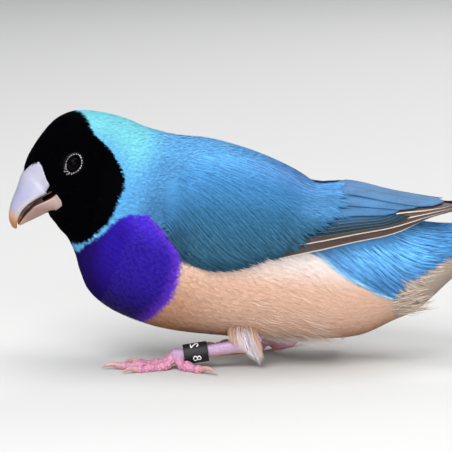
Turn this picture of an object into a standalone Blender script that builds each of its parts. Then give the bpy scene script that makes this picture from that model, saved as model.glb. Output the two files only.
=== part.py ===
"""Blue gouldian finch, cock bird, crouched on both feet with its head bent down to feed. Life size.

Metres, +Z up. The bird faces -X, its left side is at -Y and the floor is at Z 0.
The tables and sizes below are in millimetres, and MM turns them into metres.
"""

import math
from typing import NamedTuple

import bmesh
import bpy
import numpy as np
from mathutils import Matrix, Vector

MM = 0.001
GAP = 0.3  # left between nodes that touch
ORIGIN_X = 22.35  # the tables' x at the middle of the whole bird, bill tip to tail tip

# Sections of the body from bill to tail. Each is a closed oval that stands on one chord of the side view:
# the chord's top (x, z), its bottom (x, z), the half width, how far up the chord the widest place lies,
# how much the oval narrows towards its bottom, and how far its lower sides are swept back.
SECTIONS = {
    "bill root": (-41.6, 38.85, -36.2, 29.6, 4.2, 0.0, 0.30, 2.4),
    "brow": (-40.4, 42.2, -35.2, 28.4, 5.5, 0.08, 0.28, 1.8),
    "forehead": (-37.6, 46.25, -34.2, 27.0, 7.1, 0.14, 0.20, 1.0),
    "crown": (-34.4, 49.4, -32.9, 25.6, 8.1, 0.20, 0.12, 0.0),
    "hind crown": (-30.5, 50.8, -31.9, 23.8, 8.7, 0.24, 0.06, 0.0),
    "nape": (-25.8, 50.4, -30.9, 21.3, 9.0, 0.20, 0.0, 0.0),
    "neck": (-21.0, 49.1, -30.0, 18.0, 9.7, 0.10, 0.0, 0.0),
    "shoulder": (-16.0, 47.0, -28.0, 13.8, 11.4, 0.0, 0.0, 0.0),
    "breast": (-10.5, 45.7, -22.9, 9.9, 13.6, -0.06, 0.0, 0.0),
    "mantle": (-4.0, 45.0, -13.9, 6.7, 15.2, -0.08, 0.0, 0.0),
    "back": (2.5, 43.2, -3.0, 5.3, 16.0, -0.08, 0.0, 0.0),
    "middle": (8.5, 40.9, 8.0, 4.7, 15.6, -0.08, 0.0, 0.0),
    "loin": (14.0, 38.1, 18.0, 4.5, 14.0, -0.06, 0.0, 0.0),
    "flank": (19.4, 34.4, 26.2, 5.2, 11.6, -0.04, 0.0, 0.0),
    "rump": (26.0, 31.6, 32.5, 8.0, 9.2, 0.0, 0.0, 0.0),
    "vent": (33.2, 29.2, 37.9, 10.5, 7.2, 0.0, 0.0, 0.0),
    "coverts": (40.6, 28.0, 43.4, 15.6, 5.7, 0.0, 0.0, 0.0),
    "covert tips": (47.6, 27.9, 49.4, 21.0, 4.6, 0.0, 0.0, 0.0),
    "tail root": (56.5, 28.9, 57.2, 26.5, 3.0, 0.0, 0.0, 0.0),
}
SWEEP_WAY = (0.93, 0.37)
STATION = {name: number for number, name in enumerate(SECTIONS)}
NECK_CUT = 4.7
SHOULDER_CUT = 6.7
RUMP_CUT = 13.4
TAIL_CUT = 17.0
CUT_GAP = 1.15 * GAP  # between two flat ends, a little more because they stand at a slant
BODY_SIDES = 32
BODY_ANGLES = np.linspace(0, 2 * math.pi, BODY_SIDES, endpoint=False)
CUTTER_SIDES = 26
CUTTER_GROW = 0.42
HEAD_RANGE = (0, 4.5)  # first and last station of the tools that cut pieces clear of the body
WING_RANGE = (6.0, 17.5)
LEG_RANGE = (8.0, 15.0)

# The head is turned to the bird's left. The turn dies away down the neck.
HEAD_TURN = math.radians(15.0)
TURN_AXIS_X = -20.0
TURN_WHOLE = 4.5
TURN_NONE = 8.5

# The bill, in its own frame: a runs forward from the middle of its root, h runs up.
BILL_ROOT = (-37.9, 35.0)
BILL_PITCH = math.radians(53.8)
UPPER_BILL = (  # a, top h, cutting edge h, half width
    (-4.4, 5.5, -1.3, 4.0),
    (-2.2, 5.45, -0.75, 4.5),
    (0.0, 5.15, 0.05, 4.5),
    (2.6, 4.3, 1.15, 3.75),
    (5.0, 3.8, 1.6, 2.7),
    (7.0, 3.05, 1.15, 1.75),
    (8.2, 2.25, 0.55, 1.2),
    (8.85, 1.4, 0.0, 0.75),
    (9.2, 0.75, 0.2, 0.3),
)
LOWER_BILL = (  # a, cutting edge h, bottom h, half width
    (-3.6, -2.2, -5.3, 4.2),
    (-1.5, -1.3, -4.7, 4.7),
    (0.6, -0.35, -4.15, 4.5),
    (3.2, 0.2, -3.15, 3.4),
    (5.5, 0.35, -1.9, 2.2),
    (7.1, 0.25, -0.95, 1.25),
    (8.1, 0.05, -0.4, 0.5),
)
BILL_STEPS = 12
BILL_FLATNESS = 0.85  # below one, the outer face is fuller than half an ellipse
PALATE_DEPTH = 0.35  # how far the inner face of each half sinks, as a share of the half width
PALATE_LIMIT = 0.6  # the most that it sinks, as a share of the half's height
NOSTRIL = (-1.2, 2.9, 0.45)  # a, h, radius
NOSTRIL_DEPTH = 0.7
NOSTRIL_OUT = 1.5  # how far the tool that cuts it reaches out of the bill

EYE_CENTRE = (-32.85, 6.95, 41.2)  # x, distance from the middle, z, before the head is turned
EYE_LOOK = (-0.22, 1.0, 0.10)  # forward is negative, then outwards and up
EYE_RADIUS = 1.75
LID_LONG, LID_SHORT = 1.12, 0.95  # the lid opening is a little longer along the gape
LID_RADIUS = 1.6
LID_THICKNESS = 0.32
LID_PROUD = 0.85

# The folded wing is a curved sheet between three rails. Each row is x, then (y, z) of the rail
# near the back, the rail along the widest place, and the lower edge.
WING_RAILS = (
    (-12.0, 11.2, 37.0, 14.0, 32.0, 14.2, 27.0),
    (-8.0, 10.0, 41.0, 15.9, 32.0, 15.8, 22.4),
    (0.0, 8.6, 41.7, 17.2, 31.5, 16.9, 21.4),
    (8.0, 7.7, 40.1, 17.0, 31.3, 16.7, 23.0),
    (16.0, 5.4, 35.6, 15.0, 31.1, 15.0, 24.6),
    (24.0, 2.8, 35.5, 11.6, 31.0, 11.8, 25.8),
    (32.0, 2.0, 33.9, 8.0, 30.8, 8.2, 27.0),
    (40.0, 1.5, 32.6, 4.9, 31.2, 5.0, 29.8),
    (49.0, 0.9, 32.0, 2.4, 31.9, 2.4, 31.4),
)
WING_AXIS_Z = 27.0
PAD_START, PAD_END = -11.5, 19.0
PAD_FRONT = 7.0
PAD_DEPTH = 3.2
PAD_EDGE = 0.02  # left free at the back and at the lower edge, as a share of the way across
PAD_NARROWING = 0.35  # of the pad's width, at its front end
PAD_RIM = 0.10  # width of the rim, as a share of the way across
PAD_RIM_SINK, PAD_FRONT_SINK = 0.7, 1.6
VANE_THICKNESS = 0.55
VANE_STEPS = 5
VANE_ROOT_SINK = 1.1
VANE_COLUMNS = np.array([-0.5, 0.0, 0.5])
VANE_TILT = np.array([-0.42, 0.08, 0.30])
VANE_OUTLINE = ((0, 0.3, 0.75, 0.92, 1), (0.75, 1.0, 0.95, 0.62, 0.18))  # share of length, share of width
VANE_ROOT_SHARE = 0.22  # of the length, over which the root rises out of the wing
WING_MIDDLE_LIMIT, WING_EDGE_LIMIT = -0.08, 1.04  # how far across a vane may reach


class Tier(NamedTuple):
    """A tier of wing feathers, from the lowest feather to the highest.

    Each pair holds the first and the last feather's value. An across value is 0 at the back and 1 at the
    wing's lower edge.
    """

    count: int
    root_x: tuple
    root_across: tuple
    tip_x: tuple
    tip_across: tuple
    width: float
    lift: float


WING_TIERS = {
    "primary": Tier(5, (8.0, 12.0), (0.97, 0.80), (48.5, 38.0), (0.85, 0.66), 1.9, 0.10),
    "secondary": Tier(4, (11.0, 12.0), (0.76, 0.50), (35.0, 31.0), (0.66, 0.42), 2.8, 0.42),
    "tertial": Tier(3, (11.0, 10.0), (0.42, 0.04), (33.0, 43.0), (0.38, 0.14), 4.2, 0.75),
    "greater covert": Tier(6, (12.0, 10.0), (0.86, 0.20), (21.5, 20.0), (0.86, 0.18), 3.9, 0.85),
    "primary covert": Tier(2, (1.0, 3.0), (0.94, 0.86), (15.0, 14.0), (0.97, 0.88), 2.2, 0.55),
}

# The tail. Feathers are given from the middle pair outwards: length, spread in degrees, half width.
TAIL_BASE = (50.5, 25.6)
TAIL_RISE = math.radians(12.0)
TAIL_FEATHERS = (
    (38.2, 0.9, 1.55),
    (27.5, 2.6, 1.9),
    (25.5, 4.2, 1.9),
    (23.5, 5.7, 1.85),
    (21.5, 7.1, 1.8),
    (19.5, 8.4, 1.7),
)
TAIL_ROOT_SPACING = 0.55
TAIL_DROP = 0.34
TAIL_ROOT_OUT = 0.45  # distance of the innermost root from the bird's middle
TAIL_OUTLINE = ((0, 0.25, 0.8, 0.94, 1), (0.55, 1.0, 0.95, 0.6, 0.2))
PIN_LENGTH = 13.0
PIN_OUTLINE = (0.55, 1.0, 1.0, 0.6, 0.24, 0.16)
PIN_MIDDLE_GAP = 0.22  # kept free on each side of the bird's middle
TAIL_ROOM = 4.0  # how far the tool that trims the vanes' roots reaches round the rump

# Legs: the foot joint (x, distance from the middle, z) and the heel above and behind it.
FOOT_JOINT = {"left": (-10.8, 9.4, 2.6), "right": (8.0, 9.6, 2.4)}
HEEL = {"left": (2.6, 8.7, 4.6), "right": (20.0, 8.4, 5.6)}
SHIN_TOP = {"left": (5.6, 8.4, 6.8), "right": (22.0, 7.6, 7.6)}
TARSUS_RADIUS = 1.15
HEEL_RADIUS = 1.5
JOINT_RADIUS = 1.5
LEG_END_RADIUS = 1.0  # of the leg's round end, just past the foot joint
LEG_SHARES = (0.10, 0.22, 0.5, 0.8, 0.93, 1.0, 1.06)  # of the way from the heel to the foot joint
THIN_FROM, THIN_TO = 0.22, 0.8
TOE_FLOOR_SINK = 0.14  # the toe pads are flattened by this much where they meet the floor
# Toes: angle from straight ahead in degrees (outwards is positive), length, claw length, radius.
TOES = {
    "inner": (-22.0, 8.0, 3.2, 0.96),
    "middle": (3.0, 11.0, 3.6, 1.02),
    "outer": (27.0, 8.4, 3.2, 0.94),
    "hind": (139.0, 6.6, 4.4, 1.02),
}
TOE_PADS = {"inner": 2, "middle": 3, "outer": 3, "hind": 2}
TOE_TAPER = 0.22
PAD_MEAN, PAD_SWELL = 0.9, 0.16  # of the toe's radius: between the pads and on them
TOE_SLOPE = 0.3  # share of its length over which a toe comes down from the foot joint
CLAW_SHARES = (-0.25, 0.0, 0.35, 0.7, 0.92, 1.0)  # along the claw, whose root lies inside the toe
CLAW_OUTLINE = ((-0.25, 0.0, 0.35, 1.0), (0.5, 0.6, 0.45, 0.16))  # share, radius
CLAW_ARCH = 0.147  # rise of the claw's back, as a share of its length
CLAW_TIP_Z = 0.18

RING_PLACE = 0.30  # along the left tarsus, from the foot joint to the heel
RING_INNER, RING_OUTER, RING_LENGTH = 1.5, 2.02, 4.8
RING_RIM = 0.12

# Feathered thighs: half lengths of the core and the loose white feathers that hang over the heel.
THIGH_CORE = (4.2, 3.2, 4.6)
THIGH_UP = 4.4
TUFT_LOCKS = 5
TUFT_WIDTH = 2.1

COLOURS = {  # colour, roughness
    "black feather": ((0.012, 0.010, 0.016), 0.75),
    "turquoise feather": ((0.16, 0.58, 0.82), 0.70),
    "blue feather": ((0.12, 0.33, 0.55), 0.70),
    "wing feather": ((0.10, 0.26, 0.42), 0.65),
    "cream feather": ((0.72, 0.52, 0.42), 0.80),
    "white feather": ((0.80, 0.76, 0.74), 0.85),
    "horn": ((0.62, 0.58, 0.66), 0.35),
    "eye": ((0.008, 0.006, 0.008), 0.08),
    "pink skin": ((0.75, 0.42, 0.50), 0.60),
    "black band": ((0.015, 0.014, 0.018), 0.45),
}


def clear_scene():
    for old in list(bpy.data.objects):
        bpy.data.objects.remove(old, do_unlink=True)


def material(name):
    """A Principled material of that name, made once."""
    made = bpy.data.materials.get(name)
    if made:
        return made
    colour, roughness = COLOURS[name]
    made = bpy.data.materials.new(name)
    made.use_nodes = True
    shader = made.node_tree.nodes["Principled BSDF"]
    shader.inputs["Base Color"].default_value = (*colour, 1.0)
    shader.inputs["Roughness"].default_value = roughness
    made.diffuse_color = (*colour, 1.0)
    return made


def smooth_rows(rows, place):
    """A Catmull-Rom curve through the rows of a table, read at place, from 0 at the first row."""
    rows = np.asarray(rows, float)
    last = len(rows) - 1
    place = np.clip(np.asarray(place, float), 0, last)
    i = np.minimum(place.astype(int), last - 1)
    f = (place - i)[..., None]
    before, a, b = rows[np.maximum(i - 1, 0)], rows[i], rows[i + 1]
    after = rows[np.minimum(i + 2, last)]
    cubic = 2 * before - 5 * a + 4 * b - after + f * (3 * (a - b) + after - before)
    return a + 0.5 * f * (b - before + f * cubic)


def smoothstep(x):
    x = np.clip(x, 0.0, 1.0)
    return x * x * (3 - 2 * x)


def turned(points, station):
    """Points of the head or neck turned to the bird's left, by the share that their station has."""
    points = np.array(points, float)
    angle = HEAD_TURN * (1 - smoothstep((station - TURN_WHOLE) / (TURN_NONE - TURN_WHOLE)))
    x, y = points[..., 0] - TURN_AXIS_X, points[..., 1].copy()
    points[..., 0] = TURN_AXIS_X + x * np.cos(angle) - y * np.sin(angle)
    points[..., 1] = x * np.sin(angle) + y * np.cos(angle)
    return points


def body_surface(station, angle, grow=0.0):
    """A point on the body's coat. The angle runs round the section, 0 on the back and 90 degrees on the left.

    Along the chord the point is the cosine of the angle, bent so that the widest place moves up. Across it
    is the half width times the sine, less towards the bottom where the oval narrows, and the lower sides
    move back by the sweep. grow moves the surface out by that much.
    """
    station, angle = np.broadcast_arrays(np.asarray(station, float), np.asarray(angle, float))
    table = smooth_rows(list(SECTIONS.values()), station)
    tx, tz, bx, bz, width, lift, narrow, sweep = np.moveaxis(table, -1, 0)
    half = np.hypot(tx - bx, tz - bz) / 2
    low = (1 - np.cos(angle)) / 2
    back = sweep * np.sin(angle) ** 2 * low
    along = np.cos(angle)
    along = (along + lift * (1 - along**2)) * (1 + grow / half)
    points = np.stack(
        [
            (tx + bx) / 2 + (tx - bx) / 2 * along + back * SWEEP_WAY[0],
            -np.sin(angle) * (width * (1 - narrow * low**2) + grow),
            (tz + bz) / 2 + (tz - bz) / 2 * along + back * SWEEP_WAY[1],
        ],
        axis=-1,
    )
    return turned(points, station)


def new_object(name, points, faces, finish=None):
    """A mesh object from points in the tables' millimetres, with its faces pointing out."""
    points = (np.asarray(points, float) - (ORIGIN_X, 0.0, 0.0)) * MM
    mesh = bpy.data.meshes.new(name)
    mesh.from_pydata([tuple(p) for p in points], [], [tuple(f) for f in faces])
    edit = bmesh.new()
    edit.from_mesh(mesh)
    bmesh.ops.recalc_face_normals(edit, faces=edit.faces)
    edit.to_mesh(mesh)
    edit.free()
    made = bpy.data.objects.new(name, mesh)
    bpy.context.scene.collection.objects.link(made)
    if finish:
        mesh.materials.append(material(finish))
    return made


def loft(name, rings, finish=None):
    """A closed solid through rings of points, with a fan on each end. Its sides are cut into triangles."""
    rings = np.asarray(rings, float)
    count, sides = rings.shape[:2]
    points = rings.reshape(-1, 3).tolist()
    faces = []
    for i in range(count - 1):
        for j in range(sides):
            a, b = i * sides + j, i * sides + (j + 1) % sides
            faces += [(a, b, b + sides), (a, b + sides, a + sides)]
    for ring, index in ((rings[0], 0), (rings[-1], (count - 1) * sides)):
        points.append(ring.mean(axis=0).tolist())
        centre = len(points) - 1
        faces += [(centre, index + j, index + (j + 1) % sides) for j in range(sides)]
    return new_object(name, points, faces, finish)


def blade(name, top, thickness):
    """A thin solid under a grid of points (length, width, 3): an open sheet of triangles with Solidify."""
    rows, columns = top.shape[:2]
    faces = []
    for i in range(rows - 1):
        for j in range(columns - 1):
            a = i * columns + j
            b, c, d = a + 1, a + columns + 1, a + columns
            faces += [(a, b, c), (a, c, d)]
    made = new_object(name, top.reshape(-1, 3), faces)
    wall = made.modifiers.new("wall", "SOLIDIFY")
    wall.thickness = thickness * MM
    wall.offset = 0.0
    apply_modifiers(made)
    return made


def tube(name, path, radii, finish=None, resolution=1):
    """A round bar along a path with a radius at each point: a poly curve with filled caps, made a mesh."""
    curve = bpy.data.curves.new(name, "CURVE")
    curve.dimensions = "3D"
    curve.bevel_depth = MM
    curve.bevel_resolution = resolution
    curve.use_fill_caps = True
    spline = curve.splines.new("POLY")
    spline.points.add(len(path) - 1)
    for point, place, radius in zip(spline.points, path, radii):
        point.co = ((place[0] - ORIGIN_X) * MM, place[1] * MM, place[2] * MM, 1.0)
        point.radius = radius
    drawn = bpy.data.objects.new(name, curve)
    bpy.context.scene.collection.objects.link(drawn)
    mesh = bpy.data.meshes.new_from_object(drawn.evaluated_get(bpy.context.evaluated_depsgraph_get()))
    bpy.data.objects.remove(drawn)
    edit = bmesh.new()
    edit.from_mesh(mesh)
    bmesh.ops.remove_doubles(edit, verts=edit.verts, dist=0.01 * MM)
    bmesh.ops.triangulate(edit, faces=edit.faces)
    bmesh.ops.recalc_face_normals(edit, faces=edit.faces)
    edit.to_mesh(mesh)
    edit.free()
    mesh.materials.clear()
    made = bpy.data.objects.new(name, mesh)
    bpy.context.scene.collection.objects.link(made)
    if finish:
        mesh.materials.append(material(finish))
    return made


def ball(name, centre, radius, segments=20, rings=12, finish=None):
    """A sphere at a place in the tables' millimetres."""
    mesh = bpy.data.meshes.new(name)
    edit = bmesh.new()
    bmesh.ops.create_uvsphere(edit, u_segments=segments, v_segments=rings, radius=radius * MM)
    place = ((centre[0] - ORIGIN_X) * MM, centre[1] * MM, centre[2] * MM)
    bmesh.ops.translate(edit, verts=edit.verts, vec=place)
    edit.to_mesh(mesh)
    edit.free()
    made = bpy.data.objects.new(name, mesh)
    bpy.context.scene.collection.objects.link(made)
    if finish:
        mesh.materials.append(material(finish))
    return made


def apply_modifiers(target):
    graph = bpy.context.evaluated_depsgraph_get()
    mesh = bpy.data.meshes.new_from_object(target.evaluated_get(graph))
    target.modifiers.clear()
    old, target.data = target.data, mesh
    bpy.data.meshes.remove(old)


def move_to(target, collection):
    for home in list(target.users_collection):
        home.objects.unlink(target)
    collection.objects.link(target)


def combine(target, others, operation, solver="EXACT"):
    """One Boolean of a collection of closed objects on the target, applied; the others are removed."""
    group = bpy.data.collections.new(target.name + " cutters")
    bpy.context.scene.collection.children.link(group)
    for other in others:
        move_to(other, group)
    modifier = target.modifiers.new("combine", "BOOLEAN")
    modifier.operation = operation
    modifier.solver = solver
    modifier.operand_type = "COLLECTION"
    modifier.collection = group
    apply_modifiers(target)
    for other in list(group.objects):
        bpy.data.objects.remove(other, do_unlink=True)
    bpy.data.collections.remove(group)
    return target


def volume(faces):
    """Six times the volume that a closed surface of triangles holds."""
    corners = [[v.co for v in face.verts] for face in faces]
    return abs(sum(a.dot(b.cross(c)) for a, b, c in corners))


def keep_largest(target):
    """Drops every closed surface of a mesh but the one that holds most."""
    edit = bmesh.new()
    edit.from_mesh(target.data)
    bmesh.ops.triangulate(edit, faces=edit.faces)
    unseen, groups = set(edit.faces), []
    while unseen:
        group, front = set(), [next(iter(unseen))]
        while front:
            face = front.pop()
            if face in group:
                continue
            group.add(face)
            front += [near for edge in face.edges for near in edge.link_faces if near not in group]
        unseen -= group
        groups.append(group)
    largest = max(groups, key=volume)
    spare = [face for face in edit.faces if face not in largest]
    bmesh.ops.delete(edit, geom=spare, context="FACES")
    edit.to_mesh(target.data)
    edit.free()
    return target


def body_rings(first, last, count, grow=0.0, sides=BODY_SIDES):
    angles = np.linspace(0, 2 * math.pi, sides, endpoint=False)
    stations = np.linspace(first, last, count)
    return body_surface(stations[:, None], angles[None, :], grow)


def after_cut(cut):
    """Stations round a section that lie one gap past the cut, so that the two faces stay parallel."""
    step = 0.01
    here, there = (np.array(smooth_rows(list(SECTIONS.values()), cut + d)) for d in (-step, step))
    chord = here[:2] - here[2:4]
    size = np.hypot(*chord)
    move_top, move_bottom = (there - here)[:2], (there - here)[2:4]
    across_top = abs(chord[0] * move_top[1] - chord[1] * move_top[0])
    across_bottom = abs(chord[0] * move_bottom[1] - chord[1] * move_bottom[0])
    square_top = across_top / (size * 2 * step)
    square_bottom = across_bottom / (size * 2 * step)
    share = (1 + np.cos(BODY_ANGLES)) / 2
    return cut + CUT_GAP / (square_top * share + square_bottom * (1 - share))


def body_piece(name, first, last, count, finish, opens_on_cut=True):
    """A length of the body between two cuts, closed by flat ends."""
    rings = body_rings(first, last, count)
    if opens_on_cut:
        rings[0] = body_surface(after_cut(first), BODY_ANGLES)
    return loft(name, rings, finish)


def body_cutter(first, last, count):
    """The body grown by one gap and a little more for its flat sides, to cut what lies against it."""
    rings = body_rings(first, last, count, CUTTER_GROW, CUTTER_SIDES)
    ahead = rings[0].mean(axis=0) - rings[1].mean(axis=0)
    rings[0] += ahead / np.linalg.norm(ahead) * CUTTER_GROW
    return loft("cutter", rings)


def bill_frame(a, h, y):
    """A point of the bill, from forward, up and sideways distances, with the head's turn."""
    forward = np.array([-math.cos(BILL_PITCH), -math.sin(BILL_PITCH)])
    up = np.array([-math.sin(BILL_PITCH), math.cos(BILL_PITCH)])
    a, h, y = np.broadcast_arrays(a, h, y)
    x = BILL_ROOT[0] + a * forward[0] + h * up[0]
    z = BILL_ROOT[1] + a * forward[1] + h * up[1]
    return turned(np.stack([x, y, z], axis=-1), 0.0)


def bill_half(name, rows, upper):
    """Half of the bill. Its outer face is half an ellipse, and its inner face sinks between the edges."""
    table = smooth_rows(rows, np.linspace(0, len(rows) - 1, BILL_STEPS))
    outer = np.linspace(0, math.pi, 11)
    inner = np.linspace(math.pi, 2 * math.pi, 7)[1:-1]
    rings = []
    for a, high, low, width in table:
        edge, far = (low, high) if upper else (high, low)
        y = np.concatenate([np.cos(outer), np.cos(inner)]) * width
        rise = np.sin(outer) ** BILL_FLATNESS
        hollow = -np.sin(inner) * min(PALATE_DEPTH * width, PALATE_LIMIT * abs(far - edge))
        h = np.concatenate([edge + (far - edge) * rise, edge + np.sign(far - edge) * hollow])
        rings.append(bill_frame(a, h, y))
    return loft(name, rings, "horn")


def make_bill():
    upper = bill_half("bill_upper", UPPER_BILL, True)
    lower = bill_half("bill_lower", LOWER_BILL, False)
    a, h, radius = NOSTRIL
    pits = []
    for side in (-1, 1):
        near = next(row for row in UPPER_BILL if row[0] >= a)
        y = near[3] * math.sqrt(max(0.0, 1 - ((h - near[2]) / (near[1] - near[2])) ** 2))
        inner = bill_frame(a, h, side * (y - NOSTRIL_DEPTH))
        outer = bill_frame(a, h, side * (y + NOSTRIL_OUT))
        pits.append(tube("pit", [inner, outer], [radius, radius]))
    combine(upper, pits, "DIFFERENCE")
    for half in (upper, lower):
        combine(half, [body_cutter(*HEAD_RANGE, 13)], "DIFFERENCE")
        keep_largest(half)


def eye_place(side):
    """Centre of an eye and the way that it looks, on the turned head."""
    x, out, z = EYE_CENTRE
    centre = turned((x, side * out, z), 0.0)
    forward, outward, up = EYE_LOOK
    look = turned((x + forward, side * (out + outward), z + up), 0.0) - centre
    return centre, look / np.linalg.norm(look)


def lid(side):
    """The lid ring: a torus round the eye, longer along the gape, set on the face."""
    centre, look = (Vector(v) for v in eye_place(side))
    along = Vector((-math.cos(BILL_PITCH), 0.0, -math.sin(BILL_PITCH)))
    along = (along - look * along.dot(look)).normalized()
    across = look.cross(along)
    turn = Matrix((along, across, look)).transposed().to_4x4()
    stretch = Matrix.Diagonal((LID_LONG, LID_SHORT, 1.0, 1.0))
    place = (centre + look * LID_PROUD - Vector((ORIGIN_X, 0.0, 0.0))) * MM
    bpy.ops.mesh.primitive_torus_add(
        major_radius=LID_RADIUS * MM, minor_radius=LID_THICKNESS * MM, major_segments=22, minor_segments=6
    )
    made = bpy.context.object
    made.data.transform(Matrix.Translation(place) @ turn @ stretch)
    return made


def make_head():
    head = body_piece("head", 0, NECK_CUT, 16, "black feather", opens_on_cut=False)
    combine(head, [lid(-1), lid(1)], "UNION")
    sockets = [ball("socket", eye_place(side)[0], EYE_RADIUS + GAP, 18, 10) for side in (-1, 1)]
    combine(head, sockets, "DIFFERENCE")
    keep_largest(head)
    for side, name in ((-1, "eye_left"), (1, "eye_right")):
        ball(name, eye_place(side)[0], EYE_RADIUS, 18, 10, finish="eye")


def make_body():
    body_piece("neck", NECK_CUT, SHOULDER_CUT, 6, "turquoise feather")
    body_piece("torso", SHOULDER_CUT, RUMP_CUT, 17, "cream feather")
    body_piece("rump", RUMP_CUT, TAIL_CUT, 8, "blue feather")


def wing_surface(x, across, height):
    """A point of the left wing: a parabola through the three rails at x, moved out by height."""
    x, across, height = np.broadcast_arrays(*(np.asarray(v, float) for v in (x, across, height)))
    table = np.asarray(WING_RAILS, float)
    row = np.interp(x, table[:, 0], np.arange(len(table)))
    rails = smooth_rows(table[:, 1:], row)
    upper, middle, lower = rails[..., 0:2], rails[..., 2:4], rails[..., 4:6]
    t = across[..., None]
    place = upper * (1 - t) * (1 - 2 * t) + middle * 4 * t * (1 - t) + lower * t * (2 * t - 1)
    out = place - (0.0, WING_AXIS_Z)
    out /= np.linalg.norm(out, axis=-1, keepdims=True)
    place = place + out * height[..., None]
    return np.stack([x, -place[..., 0], place[..., 1]], axis=-1)


def wing_girth(x):
    """Length across the wing at x, from the back to the lower edge."""
    line = wing_surface(x, np.linspace(0, 1, 9), 0.0)
    return np.linalg.norm(np.diff(line, axis=0), axis=1).sum()


def wing_pad():
    """The small coverts as one pad. Its rim sinks towards the body and its inner face runs into it."""
    x = np.linspace(PAD_START, PAD_END, 12)
    across = np.linspace(PAD_EDGE, 1 - PAD_EDGE, 9)
    grid_x, grid_across = np.meshgrid(x, across, indexing="ij")
    front = 1 - smoothstep((grid_x - PAD_START) / PAD_FRONT)
    rim = np.clip(1 - np.minimum(grid_across, 1 - grid_across) / PAD_RIM, 0, 1)
    narrow = 0.5 + (grid_across - 0.5) * (1 - PAD_NARROWING * front)
    sunk = PAD_DEPTH / 2 + PAD_RIM_SINK * rim + PAD_FRONT_SINK * front
    return blade("wing_left", wing_surface(grid_x, narrow, -sunk), PAD_DEPTH)


def wing_vane(root_x, root_across, tip_x, tip_across, width, lift):
    """One feather of the wing. Its lower edge stands lower than its upper edge, so that the next laps it."""
    share = np.linspace(0, 1, VANE_STEPS + 1)[:, None]
    outline = np.interp(share, *VANE_OUTLINE)
    x = root_x + (tip_x - root_x) * share
    girth = np.array([wing_girth(place) for place in x[:, 0]])[:, None]
    centre = root_across + (tip_across - root_across) * share
    across = np.clip(centre + VANE_COLUMNS * width * outline / girth, WING_MIDDLE_LIMIT, WING_EDGE_LIMIT)
    sunk = VANE_ROOT_SINK * (1 - smoothstep(share / VANE_ROOT_SHARE))
    height = lift - sunk + VANE_TILT * (0.35 + 0.65 * outline) - VANE_THICKNESS / 2
    return blade("vane", wing_surface(x, across, height), VANE_THICKNESS)


def wing_vanes():
    vanes = []
    for tier in WING_TIERS.values():
        for place in np.linspace(0, 1, tier.count):
            ends = (tier.root_x, tier.root_across, tier.tip_x, tier.tip_across)
            values = [first + (last - first) * place for first, last in ends]
            vanes.append(wing_vane(*values, tier.width, tier.lift))
    return vanes


def mirrored(source, name):
    """A copy of an object across the middle plane of the bird."""
    mesh = source.data.copy()
    edit = bmesh.new()
    edit.from_mesh(mesh)
    for vert in edit.verts:
        vert.co.y = -vert.co.y
    bmesh.ops.reverse_faces(edit, faces=edit.faces)
    edit.to_mesh(mesh)
    edit.free()
    made = bpy.data.objects.new(name, mesh)
    bpy.context.scene.collection.objects.link(made)
    return made


def make_wings():
    wing = wing_pad()
    combine(wing, wing_vanes(), "UNION", "MANIFOLD")
    combine(wing, [body_cutter(*WING_RANGE, 22)], "DIFFERENCE", "MANIFOLD")
    keep_largest(wing)
    wing.data.materials.append(material("wing feather"))
    mirrored(wing, "wing_right")


def tail_point(along, out, up):
    """A point of the tail: along it, sideways, and square to it upwards."""
    along, out, up = np.broadcast_arrays(along, out, up)
    x = TAIL_BASE[0] + along * math.cos(TAIL_RISE) - up * math.sin(TAIL_RISE)
    z = TAIL_BASE[1] + along * math.sin(TAIL_RISE) + up * math.cos(TAIL_RISE)
    return np.stack([x, out, z], axis=-1)


def tail_vane(number, side):
    """One tail feather. The next inner feather laps its inner edge, and the middle pair ends in a pin."""
    length, spread, half_width = TAIL_FEATHERS[number]
    if number:
        share = np.linspace(0, 1, 6)
        outline = np.interp(share, *TAIL_OUTLINE) * half_width
    else:
        pin = 1 - PIN_LENGTH / length
        share = np.array([0, 0.2, 0.45, pin, pin + 0.08, 1])
        outline = np.array(PIN_OUTLINE) * half_width
    along = (share * length)[:, None]
    outline = outline[:, None]
    centre = TAIL_ROOT_OUT + number * TAIL_ROOT_SPACING + along * math.tan(math.radians(spread))
    out = centre + np.array([-1.0, 0.0, 1.0]) * outline
    if number == 0:
        out = np.maximum(out, PIN_MIDDLE_GAP)
    tilt = np.array([0.30, 0.0, -0.30]) * (0.4 + 0.6 * outline / half_width)
    up = 0.2 - TAIL_DROP * number - (tilt if number else 0.0)
    return blade("vane", tail_point(along, side * out, up), VANE_THICKNESS)


def make_tail():
    tail = body_piece("tail", TAIL_CUT, STATION["tail root"], 6, None)
    vanes = [tail_vane(number, side) for number in range(len(TAIL_FEATHERS)) for side in (-1, 1)]
    combine(tail, vanes, "UNION", "MANIFOLD")
    cutter = loft("cutter", body_rings(RUMP_CUT, TAIL_CUT, 10, TAIL_ROOM))
    combine(tail, [cutter], "DIFFERENCE")
    keep_largest(tail)
    tail.data.materials.append(material("black feather"))


def leg_path(which):
    side = -1 if which == "left" else 1
    places = [SHIN_TOP[which], HEEL[which], FOOT_JOINT[which]]
    return side, [np.array([x, side * out, z]) for x, out, z in places]


def leg_bar(which, grow=0.0):
    """Shin, heel and tarsus as one bent bar, thicker at the heel and the foot joint."""
    _, (top, heel, joint) = leg_path(which)
    places = [top, heel * 0.6 + top * 0.4, heel]
    radii = [HEEL_RADIUS] * 3
    known_shares = [0, THIN_FROM, THIN_TO, 1.0, LEG_SHARES[-1]]
    known_radii = [HEEL_RADIUS, TARSUS_RADIUS, TARSUS_RADIUS, JOINT_RADIUS, LEG_END_RADIUS]
    for share in LEG_SHARES:
        places.append(heel + (joint - heel) * share)
        radii.append(np.interp(share, known_shares, known_radii))
    return tube("bar", places, [r + grow for r in radii], resolution=3)


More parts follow.
